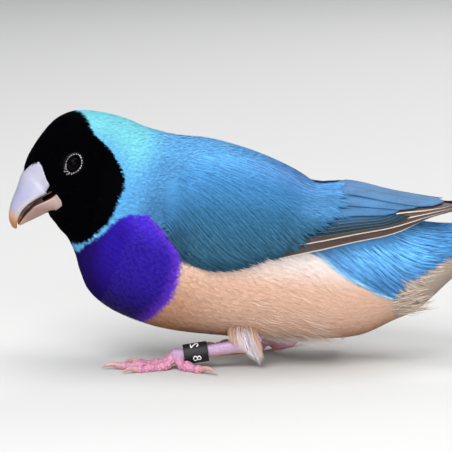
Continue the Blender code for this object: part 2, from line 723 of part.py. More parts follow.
def toe(which, name):
    """A toe with its pads, and the claw that curves down to the floor."""
    side, (_, _, joint) = leg_path(which)
    angle, length, claw, radius = TOES[name]
    turn = math.radians(angle)
    ahead = np.array([-math.cos(turn), side * math.sin(turn), 0.0])
    pads = TOE_PADS[name]
    places, radii = [], []
    for share in np.linspace(0, 1, 3 * pads + 1):
        swell = PAD_MEAN + PAD_SWELL * math.cos(2 * math.pi * pads * share)
        thick = radius * (1 - TOE_TAPER * share) * swell
        drop = smoothstep(share / TOE_SLOPE)
        level = joint[2] * (1 - drop) + (thick - TOE_FLOOR_SINK) * drop
        places.append(np.array([joint[0], joint[1], level]) + ahead * length * share)
        radii.append(thick)
    end = places[-1]
    nail_places, nail_radii = [], []
    for share in CLAW_SHARES:
        out = max(0.0, share)
        rise = CLAW_ARCH * claw * math.sin(math.pi * 0.9 * out)
        level = end[2] * (1 - out**1.6) + rise + CLAW_TIP_Z * out
        nail_places.append(np.array([end[0], end[1], level]) + ahead * claw * share)
        nail_radii.append(np.interp(share, *CLAW_OUTLINE))
    return [
        tube("toe", places, radii, resolution=2),
        tube("claw", nail_places, nail_radii, resolution=1),
    ]


def flatten_on_floor(target):
    """Presses what reaches below the floor flat onto it."""
    for vert in target.data.vertices:
        vert.co.z = max(vert.co.z, 0.0)


def make_leg(which):
    leg = leg_bar(which)
    leg.name = "leg_" + which
    pieces = [piece for name in TOES for piece in toe(which, name)]
    combine(leg, pieces, "UNION")
    combine(leg, [body_cutter(*LEG_RANGE, 14)], "DIFFERENCE")
    keep_largest(leg)
    flatten_on_floor(leg)
    leg.data.materials.append(material("pink skin"))


def make_ring():
    """The closed band on the left tarsus: its wall turned round the tarsus line."""
    _, (_, heel, joint) = leg_path("left")
    half = RING_LENGTH / 2
    profile = (
        (RING_INNER, half),
        (RING_OUTER - RING_RIM, half),
        (RING_OUTER, half - RING_RIM),
        (RING_OUTER, RING_RIM - half),
        (RING_OUTER - RING_RIM, -half),
        (RING_INNER, -half),
    )
    mesh = bpy.data.meshes.new("leg_ring")
    points = [(radius * MM, 0.0, height * MM) for radius, height in profile]
    mesh.from_pydata(points, [(i, (i + 1) % len(profile)) for i in range(len(profile))], [])
    mesh.materials.append(material("black band"))
    ring = bpy.data.objects.new("leg_ring", mesh)
    bpy.context.scene.collection.objects.link(ring)
    turned_wall = ring.modifiers.new("turned wall", "SCREW")
    turned_wall.steps = turned_wall.render_steps = 28
    turned_wall.use_merge_vertices = True
    turned_wall.merge_threshold = 0.00001
    line = Vector(heel - joint)
    ring.rotation_euler = line.to_track_quat("Z", "Y").to_euler()
    ring.location = (Vector(joint) + line * RING_PLACE - Vector((ORIGIN_X, 0.0, 0.0))) * MM


def tuft_lock(which, number):
    """A loose white feather that hangs from the thigh over the heel and tapers to its tip."""
    side, (_, heel, _) = leg_path(which)
    share = number / (TUFT_LOCKS - 1)
    root = heel + (3.4 - 4.6 * share, side * (0.4 + 0.9 * math.sin(math.pi * share)), 2.9 + 0.5 * share)
    tip = heel + (4.6 - 7.0 * share, side * (1.9 + 0.6 * math.sin(math.pi * share)), -2.2 + 1.6 * share)
    tip[2] = max(tip[2], 0.55)
    steps = np.linspace(0, 1, 5)
    outline = np.interp(steps, [0, 0.35, 0.8, 1], [0.8, 1.0, 0.6, 0.15]) * TUFT_WIDTH / 2
    line = root + (tip - root) * steps[:, None]
    line[:, 1] += side * 0.9 * np.sin(math.pi * steps)
    wide = np.array([1.0, 0.0, 0.35])
    top = line[:, None, :] + wide * (np.array([-1.0, 0.0, 1.0])[:, None] * outline[:, None, None])
    return blade("lock", top, VANE_THICKNESS)


def make_thigh(which):
    """The feathered thigh: an egg on the flank with loose feathers, cut clear of the body and the leg."""
    side, (top, heel, _) = leg_path(which)
    core = ball("thigh_" + which, (ORIGIN_X, 0.0, 0.0), 1.0, 16, 9)
    middle = heel + (2.4, 0.0, THIGH_UP)
    for vert in core.data.vertices:
        x, y, z = vert.co / MM
        low = max(0.0, -z)
        waist = 1.0 - 0.35 * low
        vert.co = Vector(
            (
                middle[0] - ORIGIN_X + x * THIGH_CORE[0] * waist - 1.6 * low,
                middle[1] + y * THIGH_CORE[1] * waist,
                middle[2] + z * THIGH_CORE[2],
            )
        ) * MM
    locks = [tuft_lock(which, number) for number in range(TUFT_LOCKS)]
    combine(core, locks, "UNION")
    combine(core, [body_cutter(*LEG_RANGE, 14)], "DIFFERENCE")
    combine(core, [leg_bar(which, GAP)], "DIFFERENCE")
    keep_largest(core)
    core.data.materials.append(material("white feather"))


def shade_and_collect():
    """Shades every part smooth but for its sharp edges, and puts them in the bird's collection."""
    bird = bpy.data.collections.new("gouldian_finch")
    bpy.context.scene.collection.children.link(bird)
    for part in list(bpy.data.objects):
        part.data.shade_smooth()
        part.data.set_sharp_from_angle(angle=math.radians(40))
        move_to(part, bird)


def main():
    clear_scene()
    make_head()
    make_bill()
    make_body()
    make_wings()
    make_tail()
    for which in ("left", "right"):
        make_leg(which)
        make_thigh(which)
    make_ring()
    shade_and_collect()


main()
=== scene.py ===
"""Looks of the blue gouldian finch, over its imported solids: skin, plumage, bill, eyes, legs and leg band.

The tables are in millimetres, as in the solids' source, and to_frame() turns them into the frame's metres.
The bird faces -X, its left side is at -Y, and the floor is at Z 0.
"""

import math

import bpy
import numpy as np
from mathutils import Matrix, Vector


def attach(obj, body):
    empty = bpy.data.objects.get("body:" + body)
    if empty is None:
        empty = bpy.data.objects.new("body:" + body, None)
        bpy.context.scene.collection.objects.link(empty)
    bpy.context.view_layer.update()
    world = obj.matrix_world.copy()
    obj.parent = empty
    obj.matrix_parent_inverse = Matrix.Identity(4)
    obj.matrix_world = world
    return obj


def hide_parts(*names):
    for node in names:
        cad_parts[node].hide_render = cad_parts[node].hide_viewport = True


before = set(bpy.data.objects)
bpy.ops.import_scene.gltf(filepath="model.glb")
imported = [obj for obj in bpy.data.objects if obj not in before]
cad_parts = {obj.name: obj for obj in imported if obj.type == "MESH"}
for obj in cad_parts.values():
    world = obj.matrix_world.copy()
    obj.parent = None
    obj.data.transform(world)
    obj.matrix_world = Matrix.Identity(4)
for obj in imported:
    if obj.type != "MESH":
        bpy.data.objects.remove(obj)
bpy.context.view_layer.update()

MM = 0.001
ORIGIN_X = 22.35  # the tables' x at the middle of the bird

# The camera stands level with the bird's left side and looks a little down, as in the photograph.
CAMERA_AIM = (-23.15, 0.0, 27.2)
CAMERA_ELEVATION = math.radians(9.0)
CAMERA_DISTANCE = 600.0
FRAME_WIDTH = 90.4  # what the frame shows at the aim, in millimetres
SENSOR = 36.0

# Sections of the body, as in the solids: top (x, z), bottom (x, z), half width, lift, narrowing and sweep.
SECTIONS = np.array(
    [
        (-41.6, 38.85, -36.2, 29.6, 4.2, 0.0, 0.30, 2.4),
        (-40.4, 42.2, -35.2, 28.4, 5.5, 0.08, 0.28, 1.8),
        (-37.6, 46.25, -34.2, 27.0, 7.1, 0.14, 0.20, 1.0),
        (-34.4, 49.4, -32.9, 25.6, 8.1, 0.20, 0.12, 0.0),
        (-30.5, 50.8, -31.9, 23.8, 8.7, 0.24, 0.06, 0.0),
        (-25.8, 50.4, -30.9, 21.3, 9.0, 0.20, 0.0, 0.0),
        (-21.0, 49.1, -30.0, 18.0, 9.7, 0.10, 0.0, 0.0),
        (-16.0, 47.0, -28.0, 13.8, 11.4, 0.0, 0.0, 0.0),
        (-10.5, 45.7, -22.9, 9.9, 13.6, -0.06, 0.0, 0.0),
        (-4.0, 45.0, -13.9, 6.7, 15.2, -0.08, 0.0, 0.0),
        (2.5, 43.2, -3.0, 5.3, 16.0, -0.08, 0.0, 0.0),
        (8.5, 40.9, 8.0, 4.7, 15.6, -0.08, 0.0, 0.0),
        (14.0, 38.1, 18.0, 4.5, 14.0, -0.06, 0.0, 0.0),
        (19.4, 34.4, 26.2, 5.2, 11.6, -0.04, 0.0, 0.0),
        (26.0, 31.6, 32.5, 8.0, 9.2, 0.0, 0.0, 0.0),
        (33.2, 29.2, 37.9, 10.5, 7.2, 0.0, 0.0, 0.0),
        (40.6, 28.0, 43.4, 15.6, 5.7, 0.0, 0.0, 0.0),
        (47.6, 27.9, 49.4, 21.0, 4.6, 0.0, 0.0, 0.0),
        (56.5, 28.9, 57.2, 26.5, 3.0, 0.0, 0.0, 0.0),
    ]
)
LAST_STATION = len(SECTIONS) - 1.0
SWEEP_WAY = (0.93, 0.37)
HEAD_TURN = math.radians(15.0)
TURN_AXIS_X = -20.0
TURN_WHOLE, TURN_NONE = 4.5, 8.5

BILL_ROOT = (-37.9, 35.0)
BILL_PITCH = math.radians(53.8)
UPPER_BILL = np.array(  # a, top h, cutting edge h, half width
    [
        (-4.4, 5.5, -1.3, 4.0),
        (-2.2, 5.45, -0.75, 4.5),
        (0.0, 5.15, 0.05, 4.5),
        (2.6, 4.3, 1.15, 3.75),
        (5.0, 3.8, 1.6, 2.7),
        (7.0, 3.05, 1.15, 1.75),
        (8.2, 2.25, 0.55, 1.2),
        (8.85, 1.4, 0.0, 0.75),
        (9.2, 0.75, 0.2, 0.3),
    ]
)
LOWER_BILL = np.array(  # a, cutting edge h, bottom h, half width
    [
        (-3.6, -2.2, -5.3, 4.2),
        (-1.5, -1.3, -4.7, 4.7),
        (0.6, -0.35, -4.15, 4.5),
        (3.2, 0.2, -3.15, 3.4),
        (5.5, 0.35, -1.9, 2.2),
        (7.1, 0.25, -0.95, 1.25),
        (8.1, 0.05, -0.4, 0.5),
    ]
)

EYE_CENTRE = np.array([-32.85, 6.95, 41.2])  # before the head is turned, for the right eye
EYE_LOOK = (-0.22, 1.0, 0.10)  # forward is negative, then outwards and up
EYE_RADIUS = 1.75

# The folded wing: x, then (y, z) of the rail near the back, along the widest place, and at the lower edge.
WING_RAILS = np.array(
    [
        (-12.0, 11.2, 37.0, 14.0, 32.0, 14.2, 27.0),
        (-8.0, 10.0, 41.0, 15.9, 32.0, 15.8, 22.4),
        (0.0, 8.6, 41.7, 17.2, 31.5, 16.9, 21.4),
        (8.0, 7.7, 40.1, 17.0, 31.3, 16.7, 23.0),
        (16.0, 5.4, 35.6, 15.0, 31.1, 15.0, 24.6),
        (24.0, 2.8, 35.5, 11.6, 31.0, 11.8, 25.8),
        (32.0, 2.0, 33.9, 8.0, 30.8, 8.2, 27.0),
        (40.0, 1.5, 32.6, 4.9, 31.2, 5.0, 29.8),
        (49.0, 0.9, 32.0, 2.4, 31.9, 2.4, 31.4),
    ]
)
WING_AXIS_Z = 27.0
TAIL_BASE = (50.5, 25.6)
TAIL_RISE = math.radians(12.0)

FOOT_JOINT = {"left": (-10.8, 9.4, 2.6), "right": (8.0, 9.6, 2.4)}
HEEL = {"left": (2.6, 8.7, 4.6), "right": (20.0, 8.4, 5.6)}
SHIN_TOP = {"left": (5.6, 8.4, 6.8), "right": (22.0, 7.6, 7.6)}


def to_frame(points):
    """Points of the tables, in millimetres, as points of the frame, in metres."""
    return (np.asarray(points, float) - (ORIGIN_X, 0.0, 0.0)) * MM


def linear(red, green, blue):
    """A colour of the screen, 0 to 255, as the linear light that a shader takes."""
    share = np.array([red, green, blue]) / 255.0
    return np.where(share <= 0.04045, share / 12.92, ((share + 0.055) / 1.055) ** 2.4)


def smoothstep(x):
    """Runs from 0 to 1 with level ends: 3x squared less 2x cubed."""
    x = np.clip(x, 0.0, 1.0)
    return x * x * (3 - 2 * x)


def ramp(value, start, length):
    """Runs from 0 to 1 with level ends, from start on over a length; a negative one runs the other way."""
    return smoothstep((value - start) / length)


def over_edge(past, width):
    """Runs from 0 to 1 over a width that has an edge in its middle, by the distance past that edge."""
    return smoothstep(past / width + 0.5)


def turns(count):
    """Even turns round a full circle."""
    return np.linspace(0, 2 * math.pi, count, endpoint=False)


def arrays(*values):
    """The values as arrays of one shape."""
    return np.broadcast_arrays(*(np.asarray(value, float) for value in values))


def unit(vectors):
    """Vectors at length one."""
    return vectors / np.maximum(np.linalg.norm(vectors, axis=-1, keepdims=True), 1e-9)


def smooth_rows(rows, place):
    """A Catmull-Rom curve through the rows of a table, read at place, from 0 at the first row."""
    last = len(rows) - 1
    place = np.clip(np.asarray(place, float), 0, last)
    i = np.minimum(place.astype(int), last - 1)
    f = (place - i)[..., None]
    before, a, b = rows[np.maximum(i - 1, 0)], rows[i], rows[i + 1]
    after = rows[np.minimum(i + 2, last)]
    cubic = 2 * before - 5 * a + 4 * b - after + f * (3 * (a - b) + after - before)
    return a + 0.5 * f * (b - before + f * cubic)


def head_turn(station):
    """How far the section at a station is turned to the bird's left."""
    return HEAD_TURN * (1 - ramp(station, TURN_WHOLE, TURN_NONE - TURN_WHOLE))


def turned(points, station, axis_x=TURN_AXIS_X):
    """Points turned about an upright line by their station's share of the head's turn."""
    angle = head_turn(station)
    cosine, sine = np.cos(angle), np.sin(angle)
    x, y = points[..., 0] - axis_x, points[..., 1]
    return np.stack([axis_x + x * cosine - y * sine, x * sine + y * cosine, points[..., 2]], axis=-1)


def body_surface(station, angle, grow):
    """The coat's outer surface, as in the solids: an oval on a chord that moves from the bill to the tail.

    The angle is 0 on the back and a quarter turn on the left. Along the chord a point is the cosine of the
    angle, bent so that the widest place moves up. Across, it is the half width times the sine, less towards
    the bottom. grow moves the surface out.
    """
    station, angle, grow = arrays(station, angle, grow)
    tx, tz, bx, bz, width, lift, narrow, sweep = np.moveaxis(smooth_rows(SECTIONS, station), -1, 0)
    half = np.hypot(tx - bx, tz - bz) / 2
    low = (1 - np.cos(angle)) / 2
    back = sweep * np.sin(angle) ** 2 * low
    along = np.cos(angle)
    along = (along + lift * (1 - along**2)) * (1 + grow / half)
    x = (tx + bx) / 2 + (tx - bx) / 2 * along + back * SWEEP_WAY[0]
    y = -np.sin(angle) * (width * (1 - narrow * low**2) + grow)
    z = (tz + bz) / 2 + (tz - bz) / 2 * along + back * SWEEP_WAY[1]
    return turned(np.stack([x, y, z], axis=-1), station)


def wing_surface(x, across, height):
    """The left wing's outer surface: a parabola through the three rails at x, moved out by height.

    across is 0 at the rail near the back and 1 at the lower edge. Out is away from a line along the body.
    """
    x, across, height = arrays(x, across, height)
    row = np.interp(x, WING_RAILS[:, 0], np.arange(len(WING_RAILS)))
    rails = smooth_rows(WING_RAILS[:, 1:], row)
    upper, middle, lower = rails[..., 0:2], rails[..., 2:4], rails[..., 4:6]
    t = across[..., None]
    place = upper * (1 - t) * (1 - 2 * t) + middle * 4 * t * (1 - t) + lower * t * (2 * t - 1)
    out = unit(place - (0.0, WING_AXIS_Z))
    place = place + out * height[..., None]
    return np.stack([x, -place[..., 0], place[..., 1]], axis=-1)


def bill_frame(a, h, y):
    """A point of the bill from its distance forward a, up h and sideways y, with the head's turn."""
    a, h, y = arrays(a, h, y)
    x = BILL_ROOT[0] - a * math.cos(BILL_PITCH) - h * math.sin(BILL_PITCH)
    z = BILL_ROOT[1] - a * math.sin(BILL_PITCH) + h * math.cos(BILL_PITCH)
    return turned(np.stack([x, y, z], axis=-1), 0.0)


def eye_place(side):
    """The middle of an eye and the way that it looks; side is -1 for the left one."""
    x, out, z = EYE_CENTRE
    centre = turned(np.array([x, side * out, z]), 0.0)
    forward, outward, up = EYE_LOOK
    ahead = turned(np.array([x + forward, side * (out + outward), z + up]), 0.0)
    return centre, unit(ahead - centre)


def tail_point(along, out, up):
    """A point of the tail from its distance along it, sideways, and square to it upwards."""
    along, out, up = arrays(along, out, up)
    x = TAIL_BASE[0] + along * math.cos(TAIL_RISE) - up * math.sin(TAIL_RISE)
    z = TAIL_BASE[1] + along * math.sin(TAIL_RISE) + up * math.cos(TAIL_RISE)
    return np.stack([x, out, z], axis=-1)


# Making meshes from whole arrays. A shape is its points and a list of face arrays, one for each face size.


def grid_quads(rows, columns, start=0):
    """Quads between the points of a grid that is stored row by row."""
    i = np.arange(rows - 1)[:, None] * columns + start
    a = (i + np.arange(columns - 1)).reshape(-1)
    return np.stack([a, a + 1, a + columns + 1, a + columns], axis=-1)


def tube_shape(rings):
    """A closed tube through rings of points, shape (rows, sides, 3), with a fan on the middle of each end."""
    rows, sides = rings.shape[:2]
    i = np.arange(rows - 1)[:, None] * sides
    j = np.arange(sides)
    k = (j + 1) % sides
    quads = np.stack([i + j, i + k, i + sides + k, i + sides + j], axis=-1).reshape(-1, 4)
    first, last, end = rows * sides, rows * sides + 1, (rows - 1) * sides
    fans = np.concatenate(
        [
            np.stack([np.full(sides, first), k, j], axis=-1),
            np.stack([np.full(sides, last), end + j, end + k], axis=-1),
        ]
    )
    middles = np.stack([rings[0].mean(axis=0), rings[-1].mean(axis=0)])
    return np.concatenate([rings.reshape(-1, 3), middles]), [quads, fans]


def sheet_shape(top, bottom):
    """A closed solid between two grids of points of one size, joined all the way round their rims."""
    rows, columns = top.shape[:2]
    size = rows * columns
    upper = grid_quads(rows, columns)
    lower = grid_quads(rows, columns, size)[:, ::-1]
    index = np.arange(size).reshape(rows, columns)
    rim = np.concatenate([index[0], index[1:, -1], index[-1, -2::-1], index[-2:0:-1, 0]])
    after = np.roll(rim, -1)
    wall = np.stack([after, rim, rim + size, after + size], axis=-1)
    points = np.concatenate([top.reshape(-1, 3), bottom.reshape(-1, 3)])
    return points, [np.concatenate([upper, lower, wall])]


def joined(shapes):
    """Several shapes as one, each still closed by itself."""
    points, faces, start = [], {3: [], 4: []}, 0
    for own_points, own_faces in shapes:
        for group in own_faces:
            faces[group.shape[1]].append(group + start)
        points.append(own_points)
        start += len(own_points)
    return np.concatenate(points), [np.concatenate(group) for group in faces.values() if group]


def facing_out(points, faces):
    """The same faces, turned round if the volume that they close comes out negative."""
    volume = 0.0
    for group in faces:
        corners = points[group]
        for n in range(1, group.shape[1] - 1):
            volume += np.einsum("ij,ij->", corners[:, 0], np.cross(corners[:, n], corners[:, n + 1]))
    return faces if volume > 0 else [group[:, ::-1] for group in faces]


def placed(name, data):
    """A new object of the scene that shows this mesh, light or camera."""
    made = bpy.data.objects.new(name, data)
    bpy.context.scene.collection.objects.link(made)
    return made


def new_piece(name, shape, finish, slot, stands_for=(), tint=None, maps=None, normals=None):
    """A mesh object of the bird from a shape in the tables' millimetres, riding on the body.

    tint is a colour for each point, maps holds a flat place for each point under each map's name, and
    normals is the way that each point is shaded, for pieces as fine as down.
    """
    points, faces = shape
    faces = facing_out(points, faces)
    corners = np.concatenate([group.reshape(-1) for group in faces]).astype(np.int32)
    sizes = np.concatenate([np.full(len(group), group.shape[1]) for group in faces])
    starts = (np.cumsum(sizes) - sizes).astype(np.int32)
    mesh = bpy.data.meshes.new(name)
    mesh.vertices.add(len(points))
    mesh.vertices.foreach_set("co", to_frame(points).astype(np.float32).reshape(-1))
    mesh.loops.add(len(corners))
    mesh.loops.foreach_set("vertex_index", corners)
    mesh.polygons.add(len(starts))
    mesh.polygons.foreach_set("loop_start", starts)
    mesh.update(calc_edges=True)
    mesh.shade_smooth()
    if tint is not None:
        colours = np.concatenate([tint, np.ones((len(tint), 1))], axis=1).astype(np.float32)
        layer = mesh.color_attributes.new("tint", "FLOAT_COLOR", "POINT")
        layer.data.foreach_set("color", colours.reshape(-1))
    if normals is not None:
        layer = mesh.attributes.new("custom_normal", "FLOAT_VECTOR", "POINT")
        layer.data.foreach_set("vector", normals.astype(np.float32).reshape(-1))
    for map_name, places in (maps or {}).items():
        layer = mesh.uv_layers.new(name=map_name)
        layer.uv.foreach_set("vector", places[corners].astype(np.float32).reshape(-1))
    mesh.materials.append(finish)
    piece = placed(name, mesh)
    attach(piece, "root")
    if stands_for:
        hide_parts(*stands_for)


def mirrored(shape):
    """A shape of the left side as one of the right side."""
    points, faces = shape
    return points * (1.0, -1.0, 1.0), faces


def new_pair(name, shape, finish, slot, stands_for=(), **layers):
    """A piece of the left side and its mirror image on the right. In the names, %s stands for the side."""
    for side, own in (("left", shape), ("right", mirrored(shape))):
        new_piece(name % side, own, finish, slot, [node % side for node in stands_for], **layers)


# Markings of the plumage. Each edge is a short table of (angle in degrees, station) round the body,
# or of (station, angle) along it, read off the bird's left side and the same on its right.
MASK_EDGE = (
    (0, 3.95), (25, 4.18), (48, 4.36), (56, 4.53), (61, 4.96), (64, 5.45), (67, 6.2), (70, 6.55),
    (76, 6.62), (88, 6.54), (105, 6.39), (122, 5.89), (138, 5.33), (154, 4.59), (164, 4.1), (180, 3.85),
)  # fmt: skip
BREAST_START = (
    (70, 8.6), (76, 7.9), (83, 7.28), (92, 6.86), (104, 6.54), (124, 5.99), (146, 5.09), (180, 4.42),
)  # fmt: skip
BREAST_END = (
    (70, 7.2), (76, 7.9), (79, 8.3), (84, 8.62), (91, 8.94), (97, 9.06), (108, 9.09), (122, 9.05),
    (136, 8.88), (158, 8.68), (180, 8.6),
)  # fmt: skip
BLUE_FLANK_EDGE = (
    (4.0, 120), (8.0, 98), (9.5, 96), (10.3, 91), (10.9, 84), (11.4, 78), (11.9, 77), (12.34, 80),
    (12.65, 87), (13.0, 94), (13.38, 102), (13.75, 114), (14.28, 127), (14.55, 118), (14.84, 106),
    (15.41, 104), (15.8, 102), (16.29, 99), (18.0, 98),
)  # fmt: skip

PLUMES = {
    "mask": linear(1, 1, 3),
    "nape": linear(106, 183, 196),
    "neck side": linear(82, 152, 204),
    "throat line": linear(100, 172, 224),
    # Painted shade: the blue darkened down the body's side in front of the wing.
    "shoulder": linear(50, 98, 140),
    "mantle": linear(80, 142, 192),
    "back": linear(73, 113, 162),
    "rump": linear(90, 156, 214),
    "rump deep": linear(50, 96, 144),
    "breast": linear(40, 21, 140),
    # The violet's bottom and front are painted darker and its top lighter: painted shade and painted light.
    "breast painted shade": linear(30, 14, 90),
    "breast painted light": linear(66, 38, 188),
    "breast rim": linear(88, 44, 182),
    "belly": linear(207, 168, 146),
    # The cream's top is painted lighter, and its underside and its front by the breast darker: painted light
    # and painted shade.
    "belly painted light": linear(224, 212, 208),
    "belly painted shade": linear(163, 110, 72),
    "undertail": linear(164, 149, 138),
    "flank fringe": linear(150, 196, 216),
    "wing high": linear(62, 119, 170),
    # wing middle and wing low are painted shade: the wing darker and more teal down towards its lower edge.
    "wing middle": linear(44, 92, 126),
    "wing rear": linear(78, 133, 182),
    "wing low": linear(48, 87, 111),
    # Painted shade: dark teal at the wing's front under the breast's edge, along its lower edge, and on the
    # body just in front of it.
    "wing front painted shade": linear(24, 42, 50),
    "quill": linear(80, 66, 62),
    "quill edge": linear(230, 214, 198),
    "flight": linear(56, 101, 142),
    "flight low": linear(31, 43, 47),
    "tail": linear(20, 18, 24),
}

MARK_BLEND = 0.12  # how wide the edges of the markings are, in stations
FLANK_BLEND = 3.0  # how wide the flank's edge is, in degrees
BREAST_RIM = 0.35  # of the violet breast's brighter rim, in stations


def edge(table, place):
    """Reads a marking's edge: a straight line between its points."""
    points = np.asarray(table, float)
    return np.interp(place, points[:, 0], points[:, 1])


def folded(angle):
    """An angle round the body as degrees down from the back, the same on both sides."""
    degrees = np.degrees(np.mod(angle, 2 * math.pi))
    return np.where(degrees > 180, 360 - degrees, degrees)


def mixed(first, second, share):
    """Two colours mixed, more of the second as share goes from 0 to 1."""
    return first + (second - first) * np.clip(share, 0, 1)[..., None]


def body_tint(station, angle):
    """The plumage's colour on the body, with some painted light and shade: washes of colour laid over one
    another, each brought in by ramps.

    Each ramp says where it starts and how long it is, in degrees down from the back or in stations.
    """
    down = folded(angle)
    flank = down - edge(BLUE_FLANK_EDGE, station)
    blue = mixed(PLUMES["mantle"], PLUMES["back"], (station - 9.5) / 2.5)
    blue = mixed(blue, PLUMES["rump"], (station - 12.0) / 1.5)
    blue = mixed(blue, PLUMES["rump deep"], 0.75 * ramp(down, 78, 30) * ramp(station, 12.6, 1.0))
    blue = mixed(blue, PLUMES["rump deep"], 0.6 * ramp(station, 15.2, 1.0))
    # Painted shade: darker down the side in front of the wing.
    side = 0.4 * ramp(down, 28, 16) + 0.45 * ramp(down, 52, 18)
    blue = mixed(blue, PLUMES["shoulder"], side * ramp(station, 7.3, 0.7) * (1 - ramp(station, 9, 2)))
    # Painted shade: a dark patch on the body just in front of the wing's front.
    front = ramp(down, 76, 12) * ramp(station, 7.7, 0.5) * (station < 10.5)
    blue = mixed(blue, PLUMES["wing front painted shade"], 0.8 * front)
    collar = mixed(PLUMES["nape"], PLUMES["neck side"], ramp(down, 38, 40))
    collar = mixed(collar, PLUMES["throat line"], ramp(down, 92, 25))
    blue = mixed(collar, blue, ramp(station, 6.5, 1.5 - 0.7 * ramp(down, 30, 40)))
    # Painted light and shade: the cream is lighter at its top and darker underneath and at its front by the
    # breast.
    cream = mixed(PLUMES["belly painted light"], PLUMES["belly"], ramp(down, 80, 26))
    cream = mixed(cream, PLUMES["belly painted shade"], 0.8 * ramp(down, 128, 45))
    cream = mixed(cream, PLUMES["belly painted shade"], 0.6 * ramp(station, 10.4, -1.6) * ramp(down, 96, 32))
    cream = mixed(cream, PLUMES["undertail"], ramp(station, 13.6, 1.2))
    fringe = np.exp(-(((flank + 2.0) / 2.4) ** 2)) * ramp(station, 12.1, 0.4) * (station < 14.4)
    blue = mixed(blue, PLUMES["flank fringe"], 0.75 * fringe)
    tint = mixed(blue, cream, over_edge(flank, FLANK_BLEND))
    tint = mixed(tint, collar, (station < 6.9) & (down > 76))
    # Painted light and shade: the violet is lighter at its top and darker at its bottom and front.
    violet = mixed(PLUMES["breast painted light"], PLUMES["breast"], ramp(down, 76, 22))
    violet = mixed(violet, PLUMES["breast painted shade"], ramp(down, 108, 50))
    violet = mixed(violet, PLUMES["breast painted shade"], 0.8 * ramp(station, 6.9, -1.2))
    since, until = station - edge(BREAST_START, down), edge(BREAST_END, down) - station
    violet = mixed(PLUMES["breast rim"], violet, smoothstep(until / BREAST_RIM))
    tint = mixed(tint, violet, over_edge(since, MARK_BLEND) * over_edge(until, MARK_BLEND))
    tint = mixed(tint, PLUMES["mask"], over_edge(edge(MASK_EDGE, down) - station, MARK_BLEND))
    return mixed(tint, PLUMES["tail"], ramp(station, 17.3, 0.3) * (down < 95))


def wing_tint(x, across):
    """The wing coat's colour: bright by the back, teal and darker towards the lower edge and the front, as
    painted shade.

    It has a dark spot of painted shade where the wing starts. Where the coat runs out of the body's, at the
    front and along the back, it takes the body's colour.
    """
    # Painted shade: the wing darker and more teal down towards its lower edge.
    tint = mixed(PLUMES["wing high"], PLUMES["wing middle"], ramp(across, 0.1, 0.45))
    tint = mixed(tint, PLUMES["wing low"], ramp(across, 0.4, 0.45))
    tint = mixed(tint, PLUMES["wing rear"], ramp(x, 11.0, 7.0) * (1 - ramp(across, 0.4, 0.3)))
    # Painted shade: a dark spot at the wing's front, a darker band along its lower edge, and a darker front.
    spot = np.exp(-(((x + 9.8) / 2.6) ** 2) - ((across - 0.74) / 0.18) ** 2)
    front = (1 - ramp(x, -12.5, 2.5)) * (across > 0.3)
    dark = np.maximum(0.6 * spot, 0.55 * ramp(across, 0.86, 0.14))
    tint = mixed(tint, PLUMES["wing front painted shade"], np.maximum(dark, 0.5 * front))
    own = ramp(x, -13.0, 7.0) * ramp(across, -0.08, 0.30)
    return mixed(through_grid(WING_GROUND_TINT, *wing_grid_place(x, across)), tint, own)


# How the plumage lies, seen from the side: x, z and degrees below the line towards the tail.
LIE = np.array(
    [
        (-26, 44, 4), (-16, 43, 8), (-16, 33, 22), (-8, 43, 14), (-10, 38, 30), (-9, 33, 42),
        (-9, 25, 46), (4, 42, 26), (-2, 37, 44), (4, 37, 50), (-4, 30, 54), (2, 33, 58), (2, 27, 56),
        (8, 29, 59), (8, 35, 54), (13, 32, 58), (12, 26.5, 50), (-4, 22, 28), (2, 21.6, 10), (8, 23, 4),
        (14, 24.2, 2), (16, 36.5, 40), (17, 30, 54), (22, 34, 36), (26, 32, 26), (-22, 20, 22),
        (-13, 20, 12), (-24, 12, 40), (4, 13, 2), (4, 6, 2), (18, 10, 3), (25, 12, 8), (19, 19, 46),
        (28, 22, 50), (33, 16, 46), (41, 24, 12), (42, 29, 4), (33, 9, -18), (40, 14, -28), (50, 24, -10),
        (-36, 40, 0), (-34, 30, 0),
    ],
    float,
)  # fmt: skip
LIE_REACH = 3.0
LIE_POWER = -1.5  # of the squared distance, which weighs each place by its nearness to the third power


def lie_of(points, turn=0.0):
    """The way that feathers point: the table's degrees, each weighed by its nearness to the third power."""
    apart = (points[..., None, 0] - LIE[:, 0]) ** 2 + (points[..., None, 2] - LIE[:, 1]) ** 2 + LIE_REACH**2
    weight = apart**LIE_POWER
    slope = np.radians((weight * LIE[:, 2]).sum(axis=-1) / weight.sum(axis=-1))
    ahead = np.cos(slope)
    return np.stack([ahead * np.cos(turn), ahead * np.sin(turn), -np.sin(slope)], axis=-1)


# Feather tufts. A tuft is one small feather: a few tapering barbs side by side, each a closed thin spike
# with a flat back and a ridge. Its root is sunk in the coat and its tip lies at the surface.
BARBS = 5
BARB_PLACES = np.array([0.0, 0.55, 1.0])
BARB_WIDTHS = np.array([0.8, 1.0])
# Painted shade: a barb is darker at its root, under the tufts that lie over it, and a little lighter at its
# tip.
BARB_PAINTED_SHADES = np.array([0.80, 0.99, 1.04])
BARB_RIDGE = 0.08  # height of the ridge as a share of the width
BARB_OVERLAP = 1.3  # a barb's width, by the distance to the next one
FAN = 0.08  # how far a barb's tip moves out from its neighbour's
STRAY = 2.5  # how much further a mottled coat's tips stray
TIP_ROUND = 0.06  # how much shorter the outer barbs are
